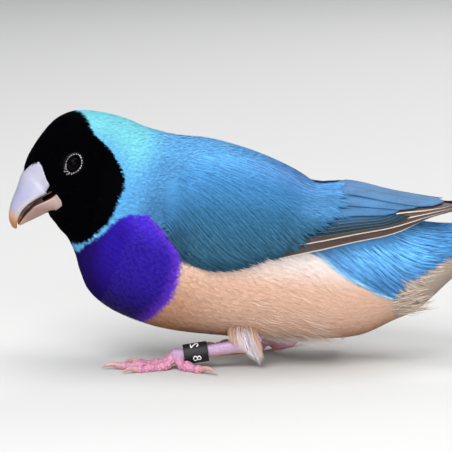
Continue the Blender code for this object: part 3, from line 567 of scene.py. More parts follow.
# How unlike each other the barbs are: beside each other, along the tuft, in length and in width.
UNEVEN_SIDE, UNEVEN_START, UNEVEN_LENGTH, UNEVEN_WIDTH = 0.15, 0.10, 0.06, 0.10
SHADE_LIMITS = (0.35, 1.5)
BAKE_PATCH = 0.003  # a tuft's share of the bake map
TUFT_KEYS = ("depth", "rise", "length", "width", "gap", "mottle", "lines")


def surface_frame(surface, u, v, grow):
    """A point of a surface, how it moves with u and with v, and the way out, by small steps to each side."""
    step = 0.004
    along = (surface(u + step, v, grow) - surface(u - step, v, grow)) / (2 * step)
    around = (surface(u, v + step, grow) - surface(u, v - step, grow)) / (2 * step)
    return surface(u, v, grow), along, around, unit(np.cross(around, along))


def steps_along(way, along, around):
    """The steps in u and v that move a point by one millimetre along way, by least squares."""
    aa, ab, bb = ((p * q).sum(axis=-1) for p, q in ((along, along), (along, around), (around, around)))
    pa, pb = (way * along).sum(axis=-1), (way * around).sum(axis=-1)
    size = np.maximum(aa * bb - ab * ab, 1e-9)
    return (bb * pa - ab * pb) / size, (aa * pb - ab * pa) / size


# Strands: thin lines of painted shade in the gaps between feathers, with a little painted light between them.
FIELD_SIZE = (420, 480)
STRAND_STEP, STRAND_STEPS, FLECK_STEPS = 0.25, 12, 4
STRAND_REACH = 2.0  # strands are evened out over this many grains to each side
STRAND_MIDDLE, STRAND_LIMITS = 0.2, (-1.0, 1.8)  # the shade of an even place, and the most that it differs


def window_mean(grid, reach):
    """The mean of a grid over a window that reaches so many places to each side."""
    for axis, far in enumerate(reach):
        grid = sum(np.roll(grid, shift, axis) for shift in range(-far, far + 1)) / (2 * far + 1)
    return grid


def surface_fields(surface, u_range, v_range, turn, grain, seed, long_share, closed):
    """The way out of a surface, and its strands of painted shade and light, on a grid of u and v.

    A strand is the mean of even noise over the places that a walk along the lie passes, both ways, so that
    it runs on along the lie and changes quickly across it. A short walk makes flecks and a long one lines,
    mixed by long_share. Less their mean over a window and over their spread in a wider one, they lie even.
    closed says that the surface closes round in v.
    """
    u_line, v_line = np.linspace(*u_range, FIELD_SIZE[0]), np.linspace(*v_range, FIELD_SIZE[1])
    u, v = np.meshgrid(u_line, v_line, indexing="ij")
    points, along, around, out = surface_frame(surface, u, v, 0.0)
    way = lie_of(points, turn(u))
    way = unit(way - out * (way * out).sum(axis=-1, keepdims=True))
    step = np.stack(steps_along(way, along, around)) * STRAND_STEP
    step[0] *= grain[0] / (u_range[1] - u_range[0])
    step[1] *= grain[1] / (v_range[1] - v_range[0])
    noise = np.random.default_rng(seed).uniform(-1, 1, grain)
    shrink = np.array(FIELD_SIZE) / grain
    start = np.indices(FIELD_SIZE) / shrink[:, None, None]
    totals = np.zeros((2, *FIELD_SIZE))
    for sign in (-1, 1):
        place = start.copy()
        for count in range(STRAND_STEPS):
            row = np.clip(place[0], 0, grain[0] - 1).astype(int)
            column = np.floor(place[1]).astype(int) % grain[1]
            totals[(0 if count < FLECK_STEPS else 1):] += noise[row, column]
            here = ((row + 0.5) * shrink[0]).astype(int), ((column + 0.5) * shrink[1]).astype(int)
            place += sign * step[:, here[0], here[1]]
    reach = np.round(STRAND_REACH * shrink).astype(int)
    lines = [total - window_mean(total, reach) for total in totals]
    flecks, strands = (line / np.sqrt(window_mean(line**2, 4 * reach)) for line in lines)
    strands = flecks + (strands - flecks) * long_share(u, v)
    return {"out": out, "strands": strands[..., None], "ends": (*u_range, *v_range), "round": closed}


def read_field(fields, key, u, v):
    """Reads a field's grid at u and v, straight between its points."""
    grid = fields[key]
    u_start, u_end, v_start, v_end = fields["ends"]
    row = np.clip((u - u_start) / (u_end - u_start), 0, 1) * (grid.shape[0] - 1)
    if fields["round"]:
        v = v_start + np.mod(v - v_start, v_end - v_start)
    column = np.clip((v - v_start) / (v_end - v_start), 0, 1) * (grid.shape[1] - 1)
    i, j = np.minimum(row.astype(int), grid.shape[0] - 2), np.minimum(column.astype(int), grid.shape[1] - 2)
    f, g = (row - i)[..., None], (column - j)[..., None]
    low = grid[i, j] * (1 - g) + grid[i, j + 1] * g
    high = grid[i + 1, j] * (1 - g) + grid[i + 1, j + 1] * g
    return low * (1 - f) + high * f


def strand_shade(fields, u, v, lines):
    """The painted shade that the strands' gaps put on a place, and the painted light between them."""
    strand = read_field(fields, "strands", u, v)[..., 0]
    return 1 + lines * (STRAND_MIDDLE - np.clip(strand, *STRAND_LIMITS))


SCATTER_CELLS = 200
GOLDEN = (0.7548776662, 0.5698402910)  # the steps of the two-way golden sequence
GOLDEN_START = (0.137, 0.311)  # times the seed
GOLDEN_STRAY = 0.3  # how far a place strays, by the mean distance between places


def for_points(values):
    """A value for each place along a barb as one for each point: three at each place and one at the tip."""
    return np.concatenate([np.repeat(values[:-1], 3), values[-1:]])


def scatter(surface, u_range, v_range, count, density, seed):
    """Even places on a surface, thinner where density is low.

    A two-way golden sequence is carried through the running sums of the surface's area times the density.
    """
    cells = SCATTER_CELLS
    u_edges, v_edges = (np.linspace(*ends, cells + 1) for ends in (u_range, v_range))
    u, v = np.meshgrid((u_edges[1:] + u_edges[:-1]) / 2, (v_edges[1:] + v_edges[:-1]) / 2, indexing="ij")
    _, along, around, _ = surface_frame(surface, u, v, 0.0)
    area = np.linalg.norm(np.cross(along, around), axis=-1) * density(u, v) + 1e-12
    rows = np.concatenate([[0.0], np.cumsum(area.sum(axis=1))])
    columns = np.concatenate([np.zeros((cells, 1)), np.cumsum(area, axis=1)], axis=1)
    columns /= columns[:, -1:]
    n = np.arange(count) + 0.5
    shift = np.random.default_rng(seed + 500).normal(0, GOLDEN_STRAY / math.sqrt(count), (2, count))
    first, second = (np.mod(seed * GOLDEN_START[k] + n * GOLDEN[k] + shift[k], 1) for k in (0, 1))
    place_u = np.interp(first, rows / rows[-1], u_edges)
    row = np.clip(np.searchsorted(rows / rows[-1], first) - 1, 0, cells - 1)
    stacked = (columns + np.arange(cells)[:, None] * 2.0).reshape(-1)
    column = np.searchsorted(stacked, second + row * 2.0) - 1 - row * (cells + 1)
    column = np.clip(column, 0, cells - 1)
    low, high = columns[row, column], columns[row, column + 1]
    place_v = v_edges[column] + (second - low) / np.maximum(high - low, 1e-12) * (v_edges[1] - v_edges[0])
    return place_u, place_v


def barb_shape(centres, normals, width, widths=BARB_WIDTHS):
    """Closed spikes along lines of points: two edges and a ridge at each place, and a tip at the last one."""
    rings = len(widths)
    heading = unit(np.diff(centres, axis=-2))
    out = normals[..., None, :]
    side = unit(np.cross(out, heading)) * (width[..., None] * widths / 2)[..., None]
    line = centres[..., :-1, :]
    ridge = line + out * (width[..., None] * widths * BARB_RIDGE)[..., None]
    points = np.stack([line - side, ridge, line + side], axis=-2).reshape(-1, 3 * rings, 3)
    points = np.concatenate([points, centres[..., -1:, :].reshape(-1, 1, 3)], axis=1)
    ring = np.array([0, 1, 2])
    after = np.roll(ring, -1)
    starts = range(0, 3 * rings - 3, 3)
    band = np.stack([ring, after, after + 3, ring + 3], axis=-1)
    quads = np.concatenate([band + start for start in starts])
    last = ring + 3 * rings - 3
    tip = np.stack([last, np.roll(last, -1), np.full(3, 3 * rings)], axis=-1)
    start = np.arange(len(points))[:, None, None] * (3 * rings + 1)
    threes = np.concatenate([tip, [[2, 1, 0]]])
    return points.reshape(-1, 3), [(quads + start).reshape(-1, 4), (threes + start).reshape(-1, 3)]


def tuft_coat(surface, fields, u, v, way, look, seed, tint_of, ends):
    """Tufts with roots at u, v that follow the surface along way. look holds a value for each tuft.

    Each barb starts beside its neighbour, follows the surface's own two directions, fans out a little and
    rises from its root's depth to its tip, darker at its root as painted shade under the tufts over it. The
    outer barbs of a tuft lie lower and darker by gap, painted shade in the gaps between tufts; mottle is how
    unlike each other the barbs are, and lines how much painted shade the strands' gaps get, with a little
    painted light between them. A barb's colour is read well along it. ends are the lowest and highest u
    and v, for the place of the tufts on the bake map.
    """
    random = np.random.default_rng(seed)
    count = len(u)
    each = (count, BARBS)
    depth, rise, length, width, gap, mottle, lines = (
        np.broadcast_to(look[key], count)[:, None] for key in TUFT_KEYS
    )
    _, along, around, normal = surface_frame(surface, u, v, -depth[:, 0])
    way = unit(way - normal * (way * normal).sum(axis=-1, keepdims=True))
    du, dv = steps_along(way, along, around)
    su, sv = steps_along(np.cross(normal, way), along, around)
    place = np.arange(BARBS) - (BARBS - 1) / 2
    outer = np.abs(place) / place[-1]
    beside = (place + random.normal(0, UNEVEN_SIDE, each)) * width
    behind = random.normal(0, UNEVEN_START, each) * length
    reach = length * (1 - TIP_ROUND * place**2 + random.normal(0, UNEVEN_LENGTH, each))
    stray = STRAY * mottle
    drift = FAN * place + stray * random.normal(0, 0.5, each) + stray * random.normal(0, 1, (count, 1))
    ahead = behind[..., None] + reach[..., None] * BARB_PLACES
    across = beside[..., None] + (drift * width)[..., None] * BARB_PLACES**2
    barb_u = u[:, None, None] + du[:, None, None] * ahead + su[:, None, None] * across
    barb_v = v[:, None, None] + dv[:, None, None] * ahead + sv[:, None, None] * across
    top = rise + 0.5 * mottle * random.normal(0, 1, each) - 0.25 * gap * outer
    lift = -depth[..., None] + (top + depth)[..., None] * BARB_PLACES**0.8
    wide = width * BARB_OVERLAP * (1 + random.normal(0, UNEVEN_WIDTH, each))
    shape = barb_shape(surface(barb_u, barb_v, lift), np.repeat(normal[:, None], BARBS, axis=1), wide)

    # mottle is an uneven tone; gap darkens the outer barbs as painted shade in the gaps between tufts.
    shade = (1 + mottle * random.normal(0, 1, (count, 1))) * (1 + mottle * random.normal(0, 1, each))
    shade = np.clip(shade * (1 - gap * outer**2), *SHADE_LIMITS)
    colour = tint_of(barb_u[..., 1:].mean(axis=-1), barb_v[..., 1:].mean(axis=-1)) * shade[..., None]
    ring = for_points(np.arange(len(BARB_PLACES)))
    # Painted shade along each barb, and the strands' painted shade and light.
    ring_shade = for_points(BARB_PAINTED_SHADES) * strand_shade(fields, barb_u, barb_v, lines[..., None])[..., ring]
    tint = np.clip(colour[:, :, None, :] * ring_shade[..., None], 0, 1).reshape(-1, 3)
    lean = 0.4 * mottle[..., None] * random.normal(0, 1, (*each, 3))
    normals = unit(read_field(fields, "out", barb_u, barb_v) + lean[:, :, None, :])[:, :, ring].reshape(-1, 3)

    root = np.stack([(u - ends[0]) / (ends[1] - ends[0]), (v - ends[2]) / (ends[3] - ends[2])], axis=-1)
    root = 0.005 + 0.99 * np.clip(root, 0, 1)
    ring_side = np.array([-1, 0, 1] * len(BARB_WIDTHS) + [0]) * 0.35
    patch_u = (place[:, None] + ring_side) / BARBS * BAKE_PATCH
    patch_v = np.broadcast_to((for_points(BARB_PLACES) - 0.5) * BAKE_PATCH, patch_u.shape)
    places = (root[:, None, None, :] + np.stack([patch_u, patch_v], axis=-1)).reshape(-1, 2)
    return shape, tint, {"OFBake": places}, normals


# The body's coat. Each row is a station, then the tufts' length, width, depth of root, height of tip, gap
# (painted shade at a tuft's edges), mottle and how much painted shade the strands' gaps get on the back
# and on the belly.
COAT_LOOK = np.array(
    [
        (0.0, 0.80, 0.10, 0.22, 0.0, 0.05, 0.05, 0.10, 0.10),
        (1.0, 1.0, 0.11, 0.24, 0.0, 0.05, 0.05, 0.10, 0.10),
        (3.0, 1.35, 0.12, 0.27, 0.0, 0.05, 0.04, 0.10, 0.10),
        (5.0, 1.35, 0.13, 0.29, 0.0, 0.05, 0.03, 0.08, 0.08),
        (7.0, 1.3, 0.14, 0.33, 0.0, 0.08, 0.03, 0.12, 0.12),
        (9.0, 1.15, 0.17, 0.36, 0.0, 0.08, 0.03, 0.16, 0.12),
        (12.0, 4.4, 0.165, 0.38, 0.0, 0.12, 0.04, 0.20, 0.06),
        (13.5, 5.4, 0.165, 0.42, 0.0, 0.25, 0.07, 0.60, 0.08),
        (16.0, 6.2, 0.16, 0.42, 0.0, 0.32, 0.09, 0.75, 0.22),
        (17.2, 6.0, 0.16, 0.42, 0.0, 0.25, 0.07, 0.6, 0.22),
        (18.0, 5.0, 0.16, 0.4, 0.0, 0.2, 0.06, 0.15, 0.10),
    ]
)
LOOK_KEYS = ("length", "width", "depth", "rise", "gap", "mottle", "lines", "low lines")
EYE_BARE = 2.2  # radius round the eye with no feathers
BILL_LINE = (
    (0, 0.05), (10, 0.25), (24, 0.65), (35, 1.0), (42, 1.18), (51, 1.23), (62, 1.16), (73, 1.04),
    (88, 1.02), (96, 1.10), (104, 1.34), (114, 1.64), (122, 1.88), (126, 1.4), (130, 0.85), (140, 0.3),
    (150, 0.05), (180, 0.02),
)  # fmt: skip
LINE_START = 0.06  # the first tufts' roots lie this far before the line, in stations
WING_FOOT = ((8.7, 62), (9.5, 74), (11.0, 74), (12.5, 70), (13.5, 64), (14.6, 55))  # station, degrees
WING_HIDES = (8.7, 14.6, 42)  # first and last station, and degrees down, that the wing hides
CREAM_FROM = 9.0  # the cream plumage starts behind this station
# On the cream: a little painted shade at the tufts' edges and in the strands' gaps, and a nearly even tone.
CREAM_LOOK = {"gap": 0.04, "mottle": 0.02}
CREAM_LINES, CREAM_LINES_END = 0.06, 12.0


def body_strands_long(station, angle):
    """Where the body's strands are lines and not flecks: behind the back, and on the sides and the belly."""
    return np.maximum(ramp(station, 10.5, 2.0), ramp(folded(angle), 70, 25))


BODY_FIELDS = surface_fields(
    body_surface, (0.0, LAST_STATION), (0.0, 2 * math.pi), head_turn, (420, 460), 3, body_strands_long, True
)


def clear_of_eyes(points):
    """One away from the eyes and nought within the bare ring round them."""
    clear = np.ones(points.shape[:-1])
    for side in (-1, 1):
        centre, _ = eye_place(side)
        clear *= np.linalg.norm(points - centre, axis=-1) > EYE_BARE
    return clear


def body_density(station, angle):
    """Where the body's coat grows: behind the bill, clear of the eyes, and not under the wings."""
    down = folded(angle)
    grows = (station > edge(BILL_LINE, down) - LINE_START) * clear_of_eyes(body_surface(station, angle, 0.0))
    first, last, top = WING_HIDES
    return grows * ~((station > first) & (station < last) & (down > top) & (down < edge(WING_FOOT, station)))


def body_coat(name, stations, tufts, slot, finish, angles, seed):
    """One length of the body's coat, from one station to another."""
    u, v = scatter(body_surface, stations, angles, tufts, body_density, seed)
    root = body_surface(u, v, 0.0)
    reach = np.interp(u, COAT_LOOK[:, 0], COAT_LOOK[:, 1])[:, None]
    tip = root + lie_of(root, head_turn(u)) * reach
    keep = (body_density(u, v) > 0) & (clear_of_eyes(tip) > 0) & (clear_of_eyes((root + tip) / 2) > 0)
    u, v = u[keep], v[keep]
    look = {key: np.interp(u, COAT_LOOK[:, 0], COAT_LOOK[:, n + 1]) for n, key in enumerate(LOOK_KEYS)}
    cream = (folded(v) > edge(BLUE_FLANK_EDGE, u)) & (u > CREAM_FROM)
    for key, value in CREAM_LOOK.items():
        look[key] = np.where(cream, value, look[key])
    low = cream | (u < CREAM_FROM) & (folded(v) > 70)
    look["lines"] = np.where(low, look.pop("low lines"), look["lines"])
    look["lines"] = np.where(cream & (u < CREAM_LINES_END), CREAM_LINES, look["lines"])
    way = lie_of(body_surface(u, v, 0.0), head_turn(u))
    ends = (*stations, *angles)
    shape, tint, maps, normals = tuft_coat(body_surface, BODY_FIELDS, u, v, way, look, seed, body_tint, ends)
    new_piece(name, shape, finish, slot, tint=tint, maps=maps, normals=normals)


class Shading:
    """A Principled material, with short ways to add nodes. An input takes a value or another's output."""

    def __init__(self, name):
        self.material = bpy.data.materials.new(name)
        self.material.use_nodes = True
        self.tree = self.material.node_tree

    def feed(self, node, inputs):
        """Gives a node its inputs, by name or by number."""
        for key, value in inputs.items():
            if isinstance(value, bpy.types.NodeSocket):
                self.tree.links.new(value, node.inputs[key])
            else:
                node.inputs[key].default_value = value
        return node

    def add(self, kind, inputs, **settings):
        """A new shader node of a kind, with its settings and then its inputs."""
        node = self.tree.nodes.new("ShaderNode" + kind)
        for key, value in settings.items():
            setattr(node, key, value)
        return self.feed(node, inputs)

    def math(self, operation, *values):
        """The result of a math node."""
        return self.add("Math", dict(enumerate(values)), operation=operation).outputs[0]

    def mix(self, share, under, colour):
        """One colour laid over another by share, through the mix node's sockets for colours."""
        return self.add("Mix", {0: share, 6: under, 7: (*colour, 1.0)}, data_type="RGBA").outputs[2]

    def shaded(self, colour, shade):
        """A colour, or the points' own tint if it is None, times a shade."""
        if colour is None:
            colour = self.add("Attribute", {}, attribute_name="tint").outputs["Color"]
        return self.add("VectorMath", {0: colour, "Scale": shade}, operation="SCALE").outputs["Vector"]

    def finished(self, colour, height, relief, depth, looks):
        """The material, with its colour, a relief from height, and its other looks by their inputs' names."""
        bump = self.add("Bump", {"Height": height, "Strength": relief, "Distance": depth})
        shader = self.tree.nodes["Principled BSDF"]
        self.feed(shader, {"Base Color": colour, "Normal": bump.outputs["Normal"], **looks})
        return self.material


NOISE_RANGE = (0.3, 0.7)  # the part of the noise that the mottling is made from


def plain_finish(
    name, colour, roughness, coat=0.0, specular=0.5, mottle=0.12, scale=900.0, relief=0.2, depth=0.00003,
    sheen=0.0, detail=3.0,
):  # fmt: skip
    """A finish of one colour, or of the points' own tint, with mottling and a fine relief from noise."""
    made = Shading(name)
    place = made.add("TexCoord", {}).outputs["Object"]
    noise = made.add("TexNoise", {"Vector": place, "Scale": scale, "Detail": detail}).outputs["Fac"]
    low, high = NOISE_RANGE
    ends = {"From Min": low, "From Max": high, "To Min": 1 - mottle, "To Max": 1 + mottle}
    level = made.add("MapRange", {"Value": noise, **ends}).outputs["Result"]
    looks = {"Roughness": roughness, "Coat Weight": coat}
    looks |= {"Sheen Weight": sheen, "Specular IOR Level": specular}
    return made.finished(made.shaded(colour, level), noise, relief, depth, looks)


def plumage_finish(name, roughness, sheen, specular):
    """Feather: the points' own tint, broken by a fine grain, with a soft sheen and a little relief."""
    grain = {"mottle": 0.10, "scale": 5200.0, "detail": 2.0, "relief": 0.25, "depth": 0.00005}
    return plain_finish(name, None, roughness, specular=specular, sheen=sheen, **grain)


# The skin: one closed surface under the coat from the bill to the tail.
SKIN_STATIONS, SKIN_SIDES = 220, 112
# How much darker the skin is than the plumage: painted shade deep under the coat.
SKIN_PAINTED_SHADE = 0.82


SKIN_SHARE = 0.62  # the skin's depth, by the depth of the tufts' roots
FACE_SINK = 2.2  # how much deeper it lies under the bill
SOCKET_SINK, SOCKET_RADIUS, SOCKET_EDGE = 0.55, 0.9, 1.3


def skin_depth(station, angle):
    """How deep the skin lies: by the tufts' roots, deeper under the bill and in a socket round each eye."""
    down = folded(angle)
    covered = (1 - ramp(down, 130, 14)) * (1 - ramp(station, edge(BILL_LINE, down) - 0.45, 0.5))
    depth = np.interp(station, COAT_LOOK[:, 0], COAT_LOOK[:, 3]) * SKIN_SHARE + FACE_SINK * covered
    points = body_surface(station, angle, 0.0)
    for side in (-1, 1):
        centre, look = eye_place(side)
        away = np.linalg.norm(np.cross(points - centre, look), axis=-1)
        socket = SOCKET_SINK * (1 - ramp(away, SOCKET_RADIUS, SOCKET_EDGE))
        depth = depth + np.where((points - centre) @ look > 0, socket, 0.0)
    return depth


def make_skin(finish):
    """The body's surface, moved in by the coat's depth, in the plumage's colours, darker as painted shade."""
    stations = np.linspace(0, LAST_STATION, SKIN_STATIONS)
    angles = turns(SKIN_SIDES)
    station, angle = np.meshgrid(stations, angles, indexing="ij")
    shape = tube_shape(body_surface(station, angle, -skin_depth(station, angle)))
    # The skin takes the strands' painted shade and light as well.
    strands = strand_shade(BODY_FIELDS, station, angle, 0.1).reshape(-1, 1)
    tint = body_tint(station.reshape(-1), angle.reshape(-1)) * SKIN_PAINTED_SHADE * strands
    tint = np.concatenate([tint, tint[:1], tint[-1:]])
    new_piece("skin", shape, finish, "body_feather", ("head", "neck", "torso", "rump"), tint=tint)


def nearest_on_body(points, rounds=14):
    """Station and angle of the body's nearest point to each point, by Gauss-Newton steps."""
    middle = (SECTIONS[:, 0] + SECTIONS[:, 2]) / 2
    station = np.interp(points[..., 0], middle, np.arange(len(middle)))
    angle = np.arctan2(-points[..., 1], points[..., 2] - 25.0)
    for _ in range(rounds):
        here, along, around, _ = surface_frame(body_surface, station, angle, 0.0)
        du, dv = steps_along(points - here, along, around)
        station = np.clip(station + 0.7 * du, 0.1, LAST_STATION - 0.1)
        angle = angle + 0.7 * dv
    return station, angle


def through_grid(grid, u, v):
    """Reads a grid of points at a row u and a column v, as a Catmull-Rom surface."""
    rows, columns = grid.shape[:2]
    u, v = np.clip(u, 0, rows - 1), np.clip(v, 0, columns - 1)
    i, j = np.minimum(u.astype(int), rows - 2), np.minimum(v.astype(int), columns - 2)

    def weights(f):
        """How much each of the four points round a place counts."""
        return (
            ((-f + 2) * f - 1) * f / 2,
            ((3 * f - 5) * f * f + 2) / 2,
            ((-3 * f + 4) * f + 1) * f / 2,
            (f - 1) * f * f / 2,
        )

    total = 0.0
    for m, wu in enumerate(weights(u - i)):
        row = np.clip(i + m - 1, 0, rows - 1)
        for n, wv in enumerate(weights(v - j)):
            column = np.clip(j + n - 1, 0, columns - 1)
            total = total + (wu * wv)[..., None] * grid[row, column]
    return total


# The wing's coat lies on a sheet that runs out of the body's own surface at its front and along the back.
WING_X = (-13.5, 26.0)
WING_ACROSS = (-0.10, 1.0)
WING_ROWS, WING_COLUMNS = 56, 30
GROUND_DEPTH = 0.9  # how deep in the body the wing's underside lies


def make_wing_base():
    """The wing's surface, drawn down onto the body at its front and upper rims by smooth shares."""
    x = np.linspace(*WING_X, WING_ROWS)[:, None]
    across = np.linspace(*WING_ACROSS, WING_COLUMNS)[None, :]
    proud = wing_surface(np.maximum(x, WING_RAILS[0, 0]), across, 0.0)
    proud[..., 0] = x
    station, angle = nearest_on_body(proud)
    ground = body_surface(station, angle, 0.0)
    share = ramp(x, WING_X[0], 8.0) * ramp(across, WING_ACROSS[0], 0.36)
    share = np.maximum(share, ramp(x, 9.0, 8.0))
    base = ground + (proud - ground) * share[..., None]
    out = unit(np.cross(np.gradient(base, axis=1), np.gradient(base, axis=0)))
    return base, out, body_surface(station, angle, -GROUND_DEPTH), body_tint(station, angle)


WING_BASE, WING_OUT, WING_GROUND, WING_GROUND_TINT = make_wing_base()


def wing_grid_place(x, across):
    """The row and the column of the wing's grids at a place of its coat."""
    row = (x - WING_X[0]) / (WING_X[1] - WING_X[0]) * (WING_ROWS - 1)
    return row, (across - WING_ACROSS[0]) / (WING_ACROSS[1] - WING_ACROSS[0]) * (WING_COLUMNS - 1)


def wing_coat_surface(x, across, grow):
    """The wing's coat sheet, moved out along its own slope by grow."""
    x, across, grow = arrays(x, across, grow)
    row, column = wing_grid_place(x, across)
    beyond = np.maximum(across - 1.0, 0.0)[..., None] * np.array([0.0, 2.0, -14.0])
    out = unit(through_grid(WING_OUT, row, column))
    return through_grid(WING_BASE, row, column) + out * grow[..., None] + beyond


# How far down the wing the tips of its coat reach, as (x, across), and how high they stand over the vanes.
COVERT_EDGE = (
    (-13.5, 1.06), (0.0, 1.04), (4.0, 1.02), (8.0, 0.99), (11.0, 0.98), (13.5, 0.96), (16.0, 0.85),
    (18.0, 0.75), (20.5, 0.68), (22.0, 0.6), (22.9, 0.35), (23.4, 0.0), (23.5, -0.2),
)  # fmt: skip
COVERT_RISE = ((-13.5, 0.0), (-6.5, 0.5), (6.0, 0.5), (14.0, 0.85), (22.5, 1.0))


def covert_lift(x, across):
    """How high the tips of the coat stand: less towards the front and along the back."""
    return edge(COVERT_RISE, x) * np.maximum(ramp(across, -0.05, 0.2), 0.4 * ramp(x, 12.0, 5.0))


def wing_strands_long(x, across):
    """Where the wing's strands are lines and not flecks: below its top."""
    return ramp(across, 0.05, 0.35)


WING_FIELDS = surface_fields(
    wing_coat_surface, WING_X, WING_ACROSS, lambda u: 0.0, (190, 110), 4, wing_strands_long, False
)
PAD_X, PAD_ACROSS = (WING_X[0] + 0.4, 20.5), (-0.08, 0.985)
PAD_DEPTH, PAD_BARE_SINK = 0.3, 1.3  # how deep the pad lies, and how much deeper where the coat has ended
COVERT_ENDS = (WING_X[0] + 0.2, 21.5, -0.09, 1.0)  # the small coverts' roots, from and to, in x and across


def make_wing_pads(finish):
    """The wing's body under its coat: a closed sheet from just inside the coat down into the flank."""
    x, across = np.meshgrid(np.linspace(*PAD_X, 60), np.linspace(*PAD_ACROSS, 34), indexing="ij")
    bare = ramp(across, edge(COVERT_EDGE, x + 1.5) - 0.22, 0.16)
    top = wing_coat_surface(x, across, 0.5 * covert_lift(x, across) - PAD_DEPTH - PAD_BARE_SINK * bare)
    shape = sheet_shape(top, through_grid(WING_GROUND, *wing_grid_place(x, across)))
    # The pad takes the wing coat's colours, darker by the skin's painted shade.
    tint = wing_tint(x, across).reshape(-1, 3) * SKIN_PAINTED_SHADE
    new_pair("wing_%s_pad", shape, finish, "wing_feather", ("wing_%s",), tint=np.concatenate([tint, tint]))


def covert_density(x, across):
    """Where the wing's coat grows: above its edge."""
    return (across < edge(COVERT_EDGE, x)).astype(float)


def wing_coats(finish, tufts):
    """The small coverts: tufts over the whole sheet, longer and looser towards the rear edge."""
    for seed, side in ((11, "left"), (12, "right")):
        u, v = scatter(wing_coat_surface, COVERT_ENDS[:2], COVERT_ENDS[2:], tufts, covert_density, seed)
        length = 3.2 + 1.8 * ramp(u, 6.0, 12.0) + 1.6 * ramp(v, 0.3, 0.5)
        length = length * np.random.default_rng(seed + 100).uniform(0.75, 1.2, len(u))
        points, along, around, _ = surface_frame(wing_coat_surface, u, v, 0.0)
        du, dv = steps_along(lie_of(points), along, around)
        tip_x, tip_across = u + du * length, v + dv * length
        ragged = 0.7 * np.sin(tip_across * 31.0) + 0.5 * np.sin(tip_across * 73.0 + 1.0)
        keep = tip_across < edge(COVERT_EDGE, tip_x + ragged * ramp(u, 8.0, 6.0))
        u, v, length = u[keep], v[keep], length[keep]
        rear, low, lift = ramp(u, 6.0, 12.0), ramp(v, 0.3, 0.5), covert_lift(u, v)
        loose = np.maximum(low, 0.5 * rear)
        look = {
            "length": length,
            "width": 0.155,
            "depth": 0.15 - 0.5 * lift,
            "rise": lift,
            # gap and lines: painted shade between the tufts and in the strands' gaps, stronger low and to the
            # rear.
            "gap": 0.08 + 0.20 * loose,
            "mottle": 0.03 + 0.05 * loose,
            "lines": (0.22 + 0.16 * np.maximum(low, 0.3 * rear)) * (0.2 + 0.8 * ramp(u, -12.5, 4.0)),
        }
        way = lie_of(wing_coat_surface(u, v, 0.0))
        shape, tint, maps, normals = tuft_coat(
            wing_coat_surface, WING_FIELDS, u, v, way, look, seed, wing_tint, COVERT_ENDS
        )
        if side == "right":
            shape, normals = mirrored(shape), normals * (1.0, -1.0, 1.0)
        layers = {"tint": tint, "maps": maps, "normals": normals}
        new_piece("wing_%s_coverts" % side, shape, finish, "wing_feather", **layers)


# Flight feathers. A vane is a thin closed sheet with a raised shaft; its lower edge laps over the next one.
VANE_ROWS = 26
VANE_COLUMNS = np.array([-1, -0.85, -0.6, -0.35, -0.14, -0.05, 0, 0.05, 0.14, 0.35, 0.6, 0.85, 1.0]) / 2
VANE_THICKNESS = 0.14
VANE_LIMITS = (-0.1, 1.04)  # how far across the wing a vane may reach
WING_LEAN, TAIL_LEAN = 0.24, -0.3  # how much higher a vane's far edge lies than its middle
SHAFT_HEIGHT = 0.10
SHAFT_WIDTH = 0.05
VANE_OUTLINE = ((0, 0.25, 0.8, 0.93, 1.0), (0.5, 1.0, 0.96, 0.66, 0.12))
WING_TIERS = {  # count, root x, root across, tip x, tip across, width, lift; first is the lowest feather
    "primary": (4, (8.0, 12.0), (0.955, 0.62), (48.3, 45.0), (0.84, 0.22), 3.1, 0.0),
    "secondary": (6, (14.0, 15.0), (0.74, 0.45), (35.5, 31.0), (0.64, 0.40), 2.9, 0.22),
    "tertial": (3, (15.0, 14.0), (0.39, -0.01), (34.0, 42.5), (0.35, 0.09), 4.5, 0.45),
}


def vane_shape(surface_at, outline, tilt):
    """A vane between two sheets, a thickness apart. surface_at takes share along, place across and height.

    The shaft is a bell-shaped ridge along the middle that dies away at the tip.
    """
    share = np.linspace(0, 1, VANE_ROWS)[:, None]
    across = VANE_COLUMNS[None, :] * 2
    wide = np.interp(share, *outline)
    ripple = 1 + 0.012 * np.sin(share * 90.0) * (np.abs(across) > 0.9)
    ridge = SHAFT_HEIGHT * np.exp(-((across * wide / SHAFT_WIDTH / 2) ** 2)) * (1 - share**2)
    lean = tilt * across * (0.35 + 0.65 * wide)
    top = surface_at(share, across * wide * ripple, lean + ridge)
    bottom = surface_at(share, across * wide * ripple, lean - VANE_THICKNESS - 0.3 * ridge)
    return sheet_shape(top, bottom)


def wing_girth(x):
    """Length across the wing at x."""
    line = wing_surface(x[:, None], np.linspace(0, 1, 9)[None, :], 0.0)
    return np.linalg.norm(np.diff(line, axis=1), axis=-1).sum(axis=1)


def covert_end(across):
    """How far back the tips of the wing's coat reach at a place across it."""
    back, down = np.array(COVERT_EDGE[::-1]).T
    return np.interp(across, down, back)


def wing_vane(root_x, root_across, tip_x, tip_across, width, lift):
    """One wing feather, run straight from its root to its tip on the wing's surface."""

    def place(share, across, height):
        """A point of this feather, from its root to its tip, across it and over it."""
        x = root_x + (tip_x - root_x) * share
        girth = wing_girth(x[:, 0])[:, None]
        middle = root_across + (tip_across - root_across) * share
        where = np.clip(middle + across / 2 * width / girth, *VANE_LIMITS)
        sunk = 1.2 * (1 - ramp(x, covert_end(where) - 3.2, 2.6))
        return wing_surface(x, where, lift + height - sunk)

    return vane_shape(place, VANE_OUTLINE, WING_LEAN)


